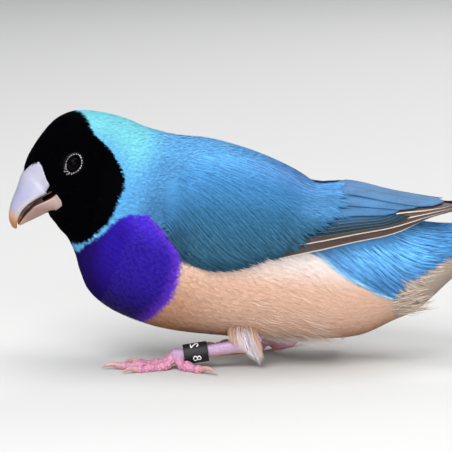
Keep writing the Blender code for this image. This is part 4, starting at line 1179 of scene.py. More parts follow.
def vane_maps(shapes):
    """A map along and across every vane, the same for each, for the barbs and the edges."""
    share = np.repeat(np.linspace(0, 1, VANE_ROWS), len(VANE_COLUMNS))
    across = np.tile(VANE_COLUMNS + 0.5, VANE_ROWS)
    one = np.stack([across, share], axis=-1)
    return np.tile(np.concatenate([one, one]), (shapes, 1))


STREAK_SCALE = (120.0, 120.0, 1100.0)  # streaks run along the bird and are fine up and down it


def vane_finish(name, rim, shaft, rim_side, rim_width, cover_shade=0.42):
    """Flight feather: web, painted shade where its neighbour laps over it, a pale rim along its edge, a shaft
    line, and slanting barbs as fine relief.
    """
    made = Shading(name)
    split = made.add("SeparateXYZ", {"Vector": made.add("UVMap", {}, uv_map="Vane").outputs["UV"]})
    across, along = split.outputs["X"], split.outputs["Y"]
    apart = made.math("ABSOLUTE", made.math("SUBTRACT", across, 0.5))
    slant = made.math("MULTIPLY_ADD", apart, -3.0, made.math("MULTIPLY", along, 11.0))
    wave = made.math("SINE", made.math("MULTIPLY", slant, 46.0))
    place = made.add("TexCoord", {}).outputs["Object"]
    grain = made.add("TexNoise", {"Vector": place, "Scale": 1400.0}).outputs["Fac"]
    stretched = made.add("VectorMath", {0: place, 1: STREAK_SCALE}, operation="MULTIPLY").outputs["Vector"]
    streaks = made.add("TexNoise", {"Vector": stretched, "Scale": 1.0, "Detail": 3.0}).outputs["Fac"]
    # Painted shade: the web darker by cover_shade towards the edge that the next feather laps over.
    cover = made.math("MINIMUM", made.math("MULTIPLY", across, 2.6), 1.0)
    shade = made.math("MULTIPLY_ADD", wave, 0.06, made.math("MULTIPLY_ADD", grain, 0.4, 0.30))
    shade = made.math("ADD", shade, streaks)
    shade = made.math("MULTIPLY", shade, made.math("MULTIPLY_ADD", cover, cover_shade, 1 - cover_shade))
    near = made.math("DIVIDE", made.math("SUBTRACT", 1.0, across) if rim_side > 0 else across, rim_width)
    on_rim = made.math("SUBTRACT", 1.0, made.math("SMOOTH_MIN", 1.0, near, 0.3))
    on_rim = made.math("MULTIPLY", made.math("MAXIMUM", on_rim, 0.0), 1.6)
    fade = made.math("MULTIPLY", made.math("SUBTRACT", 1.05, along), 3.0)
    on_rim = made.math("MULTIPLY", made.math("MINIMUM", on_rim, 1.0), made.math("MINIMUM", fade, 1.0))
    on_shaft = made.math("SUBTRACT", 1.0, made.math("MULTIPLY", apart, 34.0))
    web = made.mix(on_rim, made.shaded(None, shade), rim)
    colour = made.mix(made.math("MAXIMUM", on_shaft, 0.0), web, shaft)
    return made.finished(colour, wave, 0.4, 0.00004, {"Roughness": 0.6, "Specular IOR Level": 0.2})


def make_wing_vanes(finishes):
    """The tiers of the wing, each one piece of overlapping vanes."""
    for tier, (count, *ends, width, lift) in WING_TIERS.items():
        shapes, tints = [], []
        for number, share in enumerate(np.linspace(0, 1, count)):
            root_x, root_across, tip_x, tip_across = (first + (last - first) * share for first, last in ends)
            shapes.append(wing_vane(root_x, root_across, tip_x, tip_across, width, lift))
            tint = PLUMES["quill"]
            if tier != "primary":
                low = ramp((root_across + tip_across) / 2, 0.3, 0.4)
                tint = mixed(PLUMES["flight"], PLUMES["flight low"], low)
            tint = tint * (1 + 0.06 * math.sin(2.4 * number))
            tints.append(np.tile(tint, (len(shapes[-1][0]), 1)))
        layers = {"tint": np.concatenate(tints), "maps": {"Vane": vane_maps(count)}}
        new_pair("wing_%s_" + tier + "s", joined(shapes), finishes[tier], "wing_feather", **layers)


TAIL_FEATHERS = (  # from the middle pair outwards: length, spread in degrees, half width
    (38.2, 0.9, 1.55),
    (27.5, 2.6, 1.9),
    (25.5, 4.2, 1.9),
    (23.5, 5.7, 1.85),
    (21.5, 7.1, 1.8),
    (19.5, 8.4, 1.7),
)
PIN_START = 1 - 13.0 / TAIL_FEATHERS[0][0]  # where the middle pair narrow to their pins
PIN_OUTLINE = ((0, 0.2, 0.45, PIN_START, PIN_START + 0.08, 1), (0.55, 1, 1, 0.6, 0.24, 0.14))
TAIL_ROOT, TAIL_STEP = (0.45, 0.35), (0.55, -0.34)  # out and up, of the middle pair and from pair to pair


def make_tail(finish):
    """Twelve tail feathers, each lapped by the next inner one; the middle pair narrow to long pins."""
    shapes = []
    for number, (length, spread, half_width) in enumerate(TAIL_FEATHERS):
        root, up = (first + number * step for first, step in zip(TAIL_ROOT, TAIL_STEP))
        for side in (-1, 1):

            def place(share, across, height):
                """A point of this feather, from its root to its tip, across it and over it."""
                along = share * length
                out = root + along * math.tan(math.radians(spread)) + across * half_width
                if number == 0:
                    out = np.maximum(out, 0.12)
                return tail_point(along, side * out, up + height)

            outline, lean = (VANE_OUTLINE, TAIL_LEAN) if number else (PIN_OUTLINE, 0.0)
            shapes.append(vane_shape(place, outline, lean))
    shape = joined(shapes)
    tint = np.tile(PLUMES["tail"], (len(shape[0]), 1))
    maps = {"Vane": vane_maps(len(shapes))}
    new_piece("tail_vanes", shape, finish, "tail_feather", ("tail",), tint=tint, maps=maps)


# The bill. Each half runs from a base ring on the face, just under the first feathers, out to its tip.
BILL_ROWS = 64
UPPER_BASE_ANGLE, LOWER_BASE_ANGLE = math.radians(86.0), math.radians(104.0)
BILL_SEAT = -0.10  # how far the horn's base stands over the coat's outer surface
CHIN_SINK = 1.1  # how much deeper its underside begins, beneath the chin's feathers
PALATE_DEPTH = 0.35
OUTER_SIDES, INNER_SIDES = 33, 13
BILL_RIM_ROLL, BILL_RIM_REACH = 0.03, 0.22  # how far the cutting edges are rolled out, and over how much
HORN_UPPER = (linear(164, 162, 180), linear(150, 150, 178))  # at the base, and further out
HORN_LOWER = (linear(176, 158, 152), linear(148, 116, 106))
HORN_EDGE, HORN_BROWN, HORN_TIP = linear(176, 168, 166), linear(172, 136, 104), linear(150, 98, 54)


def bill_half(rows, upper):
    """Half of the bill: rings of half an ellipse outside and a sunken palate inside, run through smoothly.

    The first three rings follow the feather line on the head's own surface; the others are the table's.
    """
    outer = np.linspace(0, math.pi, OUTER_SIDES)
    inner = np.linspace(math.pi, 2 * math.pi, INNER_SIDES + 2)[1:-1]
    if upper:
        angles = np.interp(outer, (0, math.pi), (-UPPER_BASE_ANGLE, UPPER_BASE_ANGLE))
    else:
        angles = np.interp(outer, (0, math.pi), (-LOWER_BASE_ANGLE, LOWER_BASE_ANGLE - 2 * math.pi))
    line = edge(BILL_LINE, folded(angles))
    rings = []
    chin = CHIN_SINK * ramp(folded(angles), 130, 18)
    for place, grow in ((line + 0.16, -0.9), (line, BILL_SEAT), (0.45 * line, 0.0)):
        arc = body_surface(place, angles, grow - chin)
        share = (np.cos(inner) + 1) / 2
        chord = arc[-1] + (arc[0] - arc[-1]) * share[:, None]
        rings.append(np.concatenate([arc, chord]))
    first = next(n for n, row in enumerate(rows) if row[0] > (-0.5 if upper else 1.0))
    places = np.linspace(first, len(rows) - 1, 9)
    for a, high, low, width in smooth_rows(rows, places):
        rim, far = (low, high) if upper else (high, low)
        roll = 1 + BILL_RIM_ROLL * np.exp(-((np.sin(outer) / BILL_RIM_REACH) ** 2))
        y = np.concatenate([np.cos(outer) * roll, np.cos(inner)]) * width
        hollow = -np.sin(inner) * min(PALATE_DEPTH * width, 0.6 * abs(far - rim))
        h = np.concatenate([rim + (far - rim) * np.sin(outer) ** 0.85, rim + np.sign(far - rim) * hollow])
        rings.append(bill_frame(a, h, y))
    table = np.array(rings).reshape(len(rings), -1)
    places = np.linspace(0, len(rings) - 1, BILL_ROWS)
    return smooth_rows(table, places).reshape(BILL_ROWS, -1, 3)


def bill_tint(points, upper):
    """Horn: lilac white above, pinkish cream below, and orange brown at both tips."""
    root = turned(np.array([BILL_ROOT[0], 0.0, BILL_ROOT[1]]), 0.0)
    reach = (points - root) @ turned_way((-math.cos(BILL_PITCH), 0.0, -math.sin(BILL_PITCH)))
    base, pale = HORN_UPPER if upper else HORN_LOWER
    if upper:
        up = (points - root) @ turned_way((-math.sin(BILL_PITCH), 0.0, math.cos(BILL_PITCH)))
        pale = mixed(HORN_EDGE, pale, ramp(up, np.interp(reach, UPPER_BILL[:, 0], UPPER_BILL[:, 2]), 1.6))
    tint = mixed(base, pale, (reach + 1.0) / 3.5)
    tint = mixed(tint, HORN_BROWN, ramp(reach, 5.6, 2.0))
    return mixed(tint, HORN_TIP, ramp(reach, 7.2, 1.4))


def turned_way(way):
    """A direction turned with the head."""
    return turned(np.asarray(way, float), 0.0, 0.0)


def make_bill(finish):
    """Both halves of the horn, with the palate's faces in the mouth's dark red."""
    for rows, upper, name in ((UPPER_BILL, True, "bill_upper"), (LOWER_BILL, False, "bill_lower")):
        rings = bill_half(rows, upper)
        shape = tube_shape(rings)
        tint = bill_tint(shape[0], upper)
        side = np.tile(np.arange(rings.shape[1]), BILL_ROWS)
        inside = np.concatenate([side > OUTER_SIDES, [False, False]])
        row = np.concatenate([np.repeat(np.arange(BILL_ROWS), rings.shape[1]), [0, BILL_ROWS]]) / BILL_ROWS
        mouth = mixed(linear(100, 26, 20), linear(150, 122, 104), ramp(row, 0.62, 0.3))
        tint = np.where(inside[:, None], mouth, tint)
        new_piece(name + "_horn", shape, finish, "bill_horn", (name,), tint=tint)


MOUTH_ROWS, MOUTH_SIDES = 24, 20


def mouth_shape(start, end, up, wide, thick, taper):
    """A flat oval run along the bill between its two halves, ever thinner; a higher taper keeps it full."""
    share = np.linspace(0, 1, MOUTH_ROWS)[:, None]
    turn = turns(MOUTH_SIDES)
    a = start + (end - start) * share
    high = np.interp(a, UPPER_BILL[:, 0], UPPER_BILL[:, 2])
    low = np.interp(a, LOWER_BILL[:, 0], LOWER_BILL[:, 1])
    width = np.interp(a, LOWER_BILL[:, 0], LOWER_BILL[:, 3]) * wide
    size = np.sqrt(np.clip(1 - share**taper, 0.0, 1.0)) + 0.02
    h = low + (high - low) * up + thick * size * np.sin(turn)
    return tube_shape(bill_frame(a, h, width * size * np.cos(turn)))


def make_tongue(finish):
    """The mouth's lining and the tongue, darker inside and paler towards the tips."""
    lining = mouth_shape(-3.0, 7.9, 0.5, 0.70, 0.80, 7)
    tongue = mouth_shape(-1.5, 6.6, 0.42, 0.86, 0.30, 3)
    reach = np.concatenate([np.repeat(np.linspace(0, 1, MOUTH_ROWS), MOUTH_SIDES), [0.0, 1.0]])
    inside = mixed(linear(78, 24, 22), linear(92, 66, 60), ramp(reach, 0.5, 0.2))
    inside = mixed(inside, linear(156, 112, 78), ramp(reach, 0.8, 0.15))
    flesh = mixed(linear(104, 44, 44), linear(150, 128, 120), ramp(reach, 0.5, 0.3))
    tint = np.concatenate([inside, flesh])
    new_piece("mouth_lining", joined([lining, tongue]), finish, "bill_horn", tint=tint)


# Eyes.
EYE_LONG_WAY = np.array([0.45, 0.0, 0.89])  # the lid opening's long axis leans back and up
LID_LONG, LID_SHORT = 1.90, 1.50
LID_PROUD, LID_LEAN = 1.20, 0.20  # how proud the lid stands, and how much more at its top
LID_BEADS = 22
BEAD_RADIUS, STRAY_RADIUS = 0.105, 0.07
PUPIL = 0.42  # how far from the look line the pupil reaches, as an angle
# Stray beads, as a turn round the eye and a distance outside the lid's opening.
LID_STRAYS = ((2.75, 0.30), (3.1, 0.34), (3.45, 0.30), (2.4, 0.28), (3.0, 0.62), (2.65, 0.58))


def eye_axes(side):
    """An eye's middle, the way that it looks, and the long and the short way across its lids."""
    centre, look = eye_place(side)
    long_way = turned_way(EYE_LONG_WAY)
    long_way = unit(long_way - look * (long_way @ look))
    return centre, look, long_way, np.cross(look, long_way)


def lid_height(turn):
    """How far out the lid lies at a turn round the eye, so that it follows the face."""
    return LID_PROUD + LID_LEAN * np.cos(turn - 0.2)


def ring_shape(rings):
    """A ring closed both ways through sections of points."""
    rows, sides = rings.shape[:2]
    index = np.arange(rows * sides).reshape(rows, sides)
    after = np.roll(index, -1, axis=0)
    quads = np.stack([index, np.roll(index, -1, axis=1), np.roll(after, -1, axis=1), after], axis=-1)
    return rings.reshape(-1, 3), [quads.reshape(-1, 4)]


def eye_shape(side):
    """The eyeball, turned round its look line, with the clear front a little fuller."""
    centre, look, long_way, short_way = eye_axes(side)
    fall = np.linspace(0.02, math.pi - 0.02, 40)[:, None]
    turn = turns(48)[None, :]
    radius = EYE_RADIUS + 0.10 * np.exp(-((fall / 0.75) ** 2))
    spread = (radius * np.sin(fall))[..., None]
    rings = centre + look * (radius * np.cos(fall))[..., None] + long_way * spread * np.cos(turn)[..., None]
    rings = rings + short_way * spread * np.sin(turn)[..., None]
    tint = np.repeat(np.where(fall < PUPIL, linear(1, 1, 2), linear(5, 3, 4)), turn.size, axis=0)
    return tube_shape(rings), np.concatenate([tint, tint[:1], tint[-1:]])


def lid_reach(turn, out=0.0):
    """How far a line outside the opening reaches the long and the short way, at a turn round the eye."""
    pointed = 1 + 0.05 * np.cos(2 * turn) * np.abs(np.cos(turn))
    return (LID_LONG * pointed + out) * np.cos(turn), (LID_SHORT + out) * np.sin(turn)


def lid_shape(side):
    """The lid: a ring whose section falls from a crest to the eyeball inside and to the face outside."""
    centre, look, long_way, short_way = eye_axes(side)
    turn = turns(72)[:, None]
    out = np.array([0.62, 0.34, 0.10, -0.08, -0.22, -0.28, -0.10, 0.30])[None, :]
    rise = np.array([-0.75, -0.14, 0.04, 0.06, 0.02, -0.35, -0.9, -0.95])[None, :]
    long_reach, short_reach = (reach[..., None] for reach in lid_reach(turn, out))
    height = (lid_height(turn) + rise)[..., None]
    return ring_shape(centre + long_way * long_reach + short_way * short_reach + look * height)


def bead_shape(centre, radius, way):
    """A small round bead, a little flattened along way."""
    fall = np.linspace(0.25, math.pi - 0.25, 5)[:, None]
    turn = turns(8)[None, :]
    side = unit(np.cross(way, (0.3, 0.2, 0.9)))
    across = np.cross(way, side)
    spread = (np.sin(fall) * radius)[..., None]
    rings = centre + way * (np.cos(fall) * radius * 0.8)[..., None] + side * spread * np.cos(turn)[..., None]
    return tube_shape(rings + across * spread * np.sin(turn)[..., None])


def make_eyes(eye_finish, lid_finish, bead_finish):
    """Each eye with its dark lid and the row of white beads round the opening."""
    random = np.random.default_rng(40)
    for side, name in ((-1, "left"), (1, "right")):
        shape, tint = eye_shape(side)
        new_piece("eyeball_" + name, shape, eye_finish, "eye", ("eye_" + name,), tint=tint)
        new_piece("eyelid_" + name, lid_shape(side), lid_finish, "mask_feather")
        centre, look, long_way, short_way = eye_axes(side)
        places = turns(LID_BEADS) + random.normal(0, 0.025, LID_BEADS)
        beads = []
        for turn in places:
            long_reach, short_reach = lid_reach(turn)
            place = centre + long_way * long_reach + short_way * short_reach
            place = place + look * (lid_height(turn) + 0.06 + random.normal(0, 0.012))
            beads.append(bead_shape(place, BEAD_RADIUS * random.uniform(0.55, 1.2), look))
        for turn, out in LID_STRAYS:
            long_reach, short_reach = (LID_LONG + out) * math.cos(turn), (LID_SHORT + out) * math.sin(turn)
            place = centre + long_way * long_reach + short_way * short_reach
            beads.append(bead_shape(place + look * (lid_height(turn) + 0.02), STRAY_RADIUS, look))
        new_piece("eye_beads_" + name, joined(beads), bead_finish, "mask_feather")


# Legs: bars run along a path with a radius that swells at each joint and scale, and claws.
TARSUS_RADIUS = 1.15
TOES = {  # angle from straight ahead in degrees (outwards is positive), length, claw length, radius, pads
    "inner": (-22.0, 8.0, 3.2, 0.96, 2),
    "middle": (3.0, 11.0, 3.6, 1.02, 3),
    "outer": (27.0, 8.4, 3.2, 0.94, 3),
    "hind": (139.0, 6.6, 4.4, 1.02, 2),
}
TOE_FLOOR_SINK = 0.14
RING_PLACE = 0.30
RING_INNER, RING_OUTER, RING_LENGTH = 1.5, 2.02, 4.8
RING_RIM, RING_BEVEL = 0.16, 0.08  # the radius of the outer edges, and how far the inner ones are cut off
LEG_SIDES, LEG_ROWS = 28, 110
LEG_THICK = (1.45, 1.4, 1.5, 1.25, TARSUS_RADIUS, 1.18, 1.5, 1.1)  # radius at each corner of the leg's path
SCUTE_LENGTH = 1.35  # of the plates along the front of the leg
SCALE_LENGTH, SCALE_HEIGHT, SCALES_ROUND = 0.7, 0.34, 7
CLAW_SIDES = 18
CLAW_THICK = ((-0.25, 0.0, 0.35, 0.8, 1.0), (0.52, 0.6, 0.45, 0.24, 0.06))  # place along the claw, radius


def bar_shape(path, radii):
    """A round bar along a path, with a radius for each point and each place round it, from its side."""
    along = unit(np.gradient(path, axis=0))
    side = unit(np.cross(along, (0.0, 0.0, 1.0)))
    top = np.cross(side, along)
    turn = turns(radii.shape[1])
    rings = path[:, None, :] + side[:, None, :] * (radii * np.cos(turn))[..., None]
    return tube_shape(rings + top[:, None, :] * (radii * np.sin(turn))[..., None])


def scale_bumps(length, rows, random):
    """Rounded scales: rows of domes, each row shifted half a scale, with uneven heights."""
    along = np.linspace(0, length / SCALE_LENGTH, rows)[:, None]
    row = np.floor(along)
    place = turns(LEG_SIDES)[None, :] / (2 * math.pi) * SCALES_ROUND + 0.5 * (row % 2)
    dome = np.abs(np.sin(math.pi * along)) ** 0.6 * np.abs(np.sin(math.pi * place)) ** 0.5
    uneven = random.uniform(0.55, 1.2, (int(row.max()) + 2, SCALES_ROUND + 2))
    picked = uneven[row.astype(int), np.floor(place).astype(int) % (SCALES_ROUND + 1)]
    return 1 + SCALE_HEIGHT * dome * picked


def with_ends(values, end):
    """Values of a bar's points as one row, and the same value for the middle of each end."""
    return np.concatenate([np.reshape(values, -1), [end, end]])


def skin_tint(rows, shade):
    """Leg skin: lilac pink above, warm peach below, times a shade."""
    up = ramp(with_ends(np.tile(np.sin(turns(LEG_SIDES)), rows), 0), -0.85, 0.6)
    return mixed(linear(190, 140, 118), linear(164, 134, 166), up) * shade[:, None]


def leg_points(which):
    """A leg's side, and the top of its shin, its heel and its foot's joint."""
    side = -1 if which == "left" else 1
    places = (SHIN_TOP[which], HEEL[which], FOOT_JOINT[which])
    return side, [np.array([x, side * out, z]) for x, out, z in places]


def leg_bone(top, heel, joint):
    """Shin, heel and tarsus as one bar with plates along its front, and its tint."""
    tarsus = joint - heel
    places = [heel + tarsus * share for share in (0.0, 0.12, 0.5, 0.85, 1.0, 1.05)]
    corners = np.array([top, heel * 0.55 + top * 0.45, *places])
    place = np.linspace(0, len(corners) - 1, LEG_ROWS)
    path = smooth_rows(corners, place)
    thick = np.interp(place, np.arange(len(corners)), LEG_THICK)
    turn = turns(LEG_SIDES)
    reach = np.linalg.norm(np.diff(path, axis=0), axis=1).sum()
    plates = np.abs(np.sin(np.linspace(0, reach / SCUTE_LENGTH, LEG_ROWS) * math.pi))[:, None] ** 0.5
    plates = 1 + 0.035 * plates * (0.4 + 0.6 * np.maximum(np.sin(turn), 0))
    shape = bar_shape(path, thick[:, None] * plates * (1 + 0.03 * np.cos(3 * turn)))
    lines = 1 - 0.16 * (0.5 + 0.5 * np.cos(9 * turn)) ** 3
    return shape, skin_tint(LEG_ROWS, with_ends(np.tile(lines, LEG_ROWS), 1))


def toe_skin(joint, ahead, length, radius, pads, random):
    """A toe with its scales and pads, down from the joint to the floor; also its tint and its path."""
    rows = 14 * (pads + 1) + 10
    share = np.linspace(0, 1, rows)
    thick = radius * (1 - 0.22 * share) * (0.93 + 0.13 * np.cos(2 * math.pi * pads * share))
    drop = ramp(share, 0.0, 0.3)
    path = joint + ahead * (length * share)[:, None]
    path[:, 2] = joint[2] * (1 - drop) + (thick - TOE_FLOOR_SINK) * drop
    end_round = np.sqrt(np.clip(1 - np.clip((share - 0.94) / 0.062, 0, 1) ** 2, 0.02, 1))
    bumps = scale_bumps(length, rows, random)
    points, faces = bar_shape(path, (thick * end_round)[:, None] * bumps * 0.97)
    points[:, 2] = np.maximum(points[:, 2], 0.0)
    # Painted shade: the scales' domes lighter and the creases between them darker, with an uneven tone.
    shade = with_ends(bumps * random.uniform(0.92, 1.06, bumps.shape), 1)
    tint = mixed(skin_tint(rows, shade**1.5), linear(186, 96, 112), np.full(len(points), 0.55))
    return (points, faces), tint, path


def claw_shape(path, ahead, length):
    """A claw from the end of a toe's path: it rises a little, then comes down to a point."""
    share = np.linspace(-0.22, 1, 26)
    out = np.maximum(share, 0)
    nail = path[-1] + ahead * (length * share)[:, None]
    rise = 0.42 * np.sin(math.pi * np.minimum(1, out * 0.9)) * length * 0.35
    nail[:, 2] = path[-4, 2] * (1 - out**1.6) + rise + 0.18 * out
    squash = 1 + 0.12 * np.cos(2 * turns(CLAW_SIDES) + math.pi)
    points, faces = bar_shape(nail, np.interp(share, *CLAW_THICK)[:, None] * squash)
    points[:, 2] = np.maximum(points[:, 2], 0.01)
    return points, faces


def make_legs(skin, horn):
    """Shin, heel, tarsus, four toes and their claws for each leg."""
    for which, seed in (("left", 51), ("right", 52)):
        random = np.random.default_rng(seed)
        side, (top, heel, joint) = leg_points(which)
        bone, tint = leg_bone(top, heel, joint)
        bones, tints, claws = [bone], [tint], []
        for angle, length, claw, radius, pads in TOES.values():
            swing = math.radians(angle)
            ahead = np.array([-math.cos(swing), side * math.sin(swing), 0.0])
            toe, tint, path = toe_skin(joint, ahead, length, radius, pads, random)
            bones.append(toe)
            tints.append(tint)
            claws.append(claw_shape(path, ahead, claw))
        tint = np.clip(np.concatenate(tints), 0, 1)
        new_piece("leg_%s_skin" % which, joined(bones), skin, "leg_skin", ("leg_" + which,), tint=tint)
        new_piece("leg_%s_claws" % which, joined(claws), horn, "leg_skin")


def band_place(turn, height, radius):
    """A point on the leg band: round the tarsus by turn, along it by height from the band's middle."""
    _, (_, heel, joint) = leg_points("left")
    line = unit(heel - joint)
    middle = joint + (heel - joint) * RING_PLACE
    side = unit(np.cross(line, (0.0, 0.0, 1.0)))
    up = np.cross(side, line)
    turn, height, radius = arrays(turn, height, radius)
    out = side * np.cos(turn)[..., None] + up * np.sin(turn)[..., None]
    return middle + line * height[..., None] + out * radius[..., None]


# Plain digits for the band, as strokes on a grid of one by two: two numbers chosen at will.
DIGITS = {
    "2": (
        (0.05, 1.5), (0.2, 1.85), (0.5, 2.0), (0.82, 1.85), (0.95, 1.5), (0.8, 1.15), (0.1, 0.3),
        (0.0, 0.0), (0.98, 0.0),
    ),
    "8": (
        (0.5, 1.05), (0.12, 1.3), (0.12, 1.75), (0.5, 2.0), (0.88, 1.75), (0.88, 1.3), (0.5, 1.05),
        (0.04, 0.75), (0.04, 0.25), (0.5, 0.0), (0.96, 0.25), (0.96, 0.75), (0.5, 1.06),
    ),
}  # fmt: skip
DIGIT_PLACES = (("2", math.radians(62), -0.1), ("8", math.radians(-22), 0.1))  # turn and height of its middle
DIGIT_WIDTH, DIGIT_HALF = 0.943, 0.738  # the width, and half of the height
STROKE = 0.13  # half a stroke's width, on the digits' grid
INK_TOP, INK_BOTTOM = 0.045, -0.05  # how far a digit's two faces lie over the band


def make_band(black, white):
    """The closed black band: a profile with rounded rims turned round the tarsus, and two white digits."""
    half, rim, bevel = RING_LENGTH / 2, RING_RIM, RING_BEVEL
    corner = np.linspace(0, math.pi / 2, 6)
    out, up = rim * np.sin(corner) - rim, rim * np.cos(corner) - rim
    inner = RING_INNER + bevel * np.array([1, 0, 0, 1])
    radius = np.concatenate([RING_OUTER + out, RING_OUTER + up, inner])
    height = np.concatenate([half + up, -half - out, [-half, -half + bevel, half - bevel, half]])
    rings = band_place(turns(72)[:, None], height[None, :], radius[None, :])
    new_piece("leg_band", ring_shape(rings), black, "band", ("leg_ring",))
    strokes = []
    for digit, middle_turn, middle_height in DIGIT_PLACES:
        line = np.asarray(DIGITS[digit], float)
        path = smooth_rows(line, np.linspace(0, len(line) - 1, 60))
        along = unit(np.gradient(path, axis=0))
        side = np.stack([-along[:, 1], along[:, 0]], axis=-1) * STROKE
        edges = np.stack([path - side, path + side], axis=1)
        turn = middle_turn + (edges[..., 0] - 0.5) * DIGIT_WIDTH / RING_OUTER
        height = middle_height + (edges[..., 1] - 1.0) * DIGIT_HALF
        faces = (band_place(turn, height, RING_OUTER + lift) for lift in (INK_TOP, INK_BOTTOM))
        strokes.append(sheet_shape(*faces))
    new_piece("leg_band_digits", joined(strokes), white, "band")


# Loose white feathers of the thigh and the fine wisps that hang under the belly.
LOOSE_PLACES = np.array([0.0, 0.2, 0.4, 0.6, 0.8, 1.0])
LOOSE_WIDTHS = np.array([0.7, 0.9, 1.0, 0.85, 0.55])
LOOSE_POINTS = 3 * len(LOOSE_WIDTHS) + 1


def loose_barbs(roots, tips, bow, width, normal, tint_root, tint_tip, random):
    """Free barbs from roots to tips, bowed by a parabola along bow."""
    share = LOOSE_PLACES[:, None]
    line = roots[:, None, :] + (tips - roots)[:, None, :] * share
    line = line + bow[:, None, :] * (4 * share * (1 - share))
    shape = barb_shape(line, np.broadcast_to(normal, roots.shape), width, LOOSE_WIDTHS)
    tint = tint_root + (tint_tip - tint_root) * ramp(for_points(LOOSE_PLACES), 0.1, 0.45)[None, :, None]
    tint = tint * random.uniform(0.68, 1.06, (len(roots), 1, 1))
    return shape, np.clip(tint, 0, 1).reshape(-1, 3)


def loose_normals(way, count, random):
    """The shading ways of free barbs: one way for all, with a small lean of its own for each."""
    lean = unit(np.asarray(way, float) + random.normal(0, 0.3, (count, 3)))
    return np.repeat(lean, LOOSE_POINTS, axis=0)


def bake_patches(roots):
    """Bake map places for free barbs: each barb's patch lies at its root's place, seen from the side."""
    low, high = roots.min(axis=0), roots.max(axis=0)
    spread = (roots - low) / np.maximum(high - low, 1e-6)
    root = np.stack([spread[:, 0], (spread[:, 2] + spread[:, 1]) / 2], axis=-1) * 0.98 + 0.01
    side = np.array([-1, 0, 1] * len(LOOSE_WIDTHS) + [0]) * 0.4
    patch = np.stack([side, for_points(LOOSE_PLACES) - 0.5], axis=-1) * BAKE_PATCH
    return (root[:, None, :] + patch[None]).reshape(-1, 2)


THIGH_BARBS, BELLY_WISPS, VENT_WISPS = 1000, 1200, 150
# Where the longest thigh barbs end, to the rear of the heel and up from it, for places across the fan.
THIGH_TIP_X = ((0, 0.3, 0.6, 0.85, 1.0), (-2.2, 0.6, 3.4, 4.2, 3.4))
THIGH_TIP_Z = ((0, 0.3, 0.6, 0.85, 1.0), (0.2, -1.9, -4.1, -2.6, 0.4))


def make_thighs(finish):
    """White thigh feathers: a fan of thin barbs from the flank, down past the heel and swept to the rear."""
    for which, seed in (("left", 61), ("right", 62)):
        random = np.random.default_rng(seed)
        side, (_, heel, _) = leg_points(which)
        count = THIGH_BARBS
        fan = random.uniform(0, 1, count)
        layer = random.uniform(0, 1, count)
        reach = random.beta(2.6, 1.3, count)
        x = -2.1 + 4.2 * fan + random.normal(0, 0.25, count)
        y = side * (-2.6 + 3.2 * layer + random.normal(0, 0.7, count))
        z = 6.2 - layer - 6.0 * (fan - 0.5) ** 2 + random.normal(0, 0.7, count)
        roots = heel + np.stack([x, y, z], axis=-1)
        x = np.interp(fan, *THIGH_TIP_X) + random.normal(0, 0.22, count)
        y = side * (0.2 + 1.5 * layer) + random.normal(0, 0.2, count)
        z = np.interp(fan, *THIGH_TIP_Z) + random.normal(0, 0.22, count)
        ends = heel + np.stack([x, y, z], axis=-1)
        tips = roots + (ends - roots) * (0.42 + 0.58 * reach)[:, None]
        tips[:, 2] = np.maximum(tips[:, 2], 0.5)
        bow_y = side * (0.5 + 0.3 * random.normal(0, 1, count))
        bow = np.stack([-0.7 + 0.5 * fan, bow_y, random.normal(0, 0.15, count)], axis=-1)
        width = random.uniform(0.06, 0.12, count)
        white = np.exp(-(((fan - 0.5) / 0.3) ** 2)) + random.normal(0, 0.15, count)
        ends_tint = mixed(linear(206, 162, 132), linear(240, 232, 242), white)[:, None, :]
        pale = (linear(180, 136, 108), ends_tint)
        shape, tint = loose_barbs(roots, tips, bow, width, (0.0, side, 0.1), *pale, random)
        layers = {"tint": tint, "maps": {"OFBake": bake_patches(roots)}}
        layers["normals"] = loose_normals((0.25, side, 0.15), count, random)
        new_piece("thigh_%s_feathers" % which, shape, finish, "thigh_feather", ("thigh_" + which,), **layers)


def belly_wisps(finish, random):
    """Fine loose barbs along the belly's lower line, swept to the rear."""
    count = BELLY_WISPS
    station = random.uniform(10.4, 12.0, count)
    angle = math.pi + random.normal(0, 0.5, count)
    roots = body_surface(station, angle, -0.5)
    _, _, _, out = surface_frame(body_surface, station, angle, 0.0)
    length = random.uniform(3.0, 6.5, count)[:, None]
    away = 0.5 + 1.6 * random.uniform(0.0, 1.0, count) ** 2
    tips = roots + lie_of(roots) * length + out * away[:, None]
    bow = out * random.uniform(0.0, 0.25, count)[:, None]
    width, tints = random.uniform(0.08, 0.14, count), (PLUMES["belly"], linear(250, 236, 224))
    shape, tint = loose_barbs(roots, tips, bow, width, (0.0, 0.0, -1.0), *tints, random)
    lean = loose_normals((0.0, 0.0, 0.0), count, random)
    aside = np.stack([np.zeros(count), 1.3 * np.sign(out[:, 1]), np.full(count, 0.6)], axis=-1)
    normals = unit(0.5 * lean + np.repeat(aside, LOOSE_POINTS, axis=0))
    maps = {"OFBake": bake_patches(roots)}
    new_piece("belly_wisps", shape, finish, "body_feather", tint=tint, maps=maps, normals=normals)


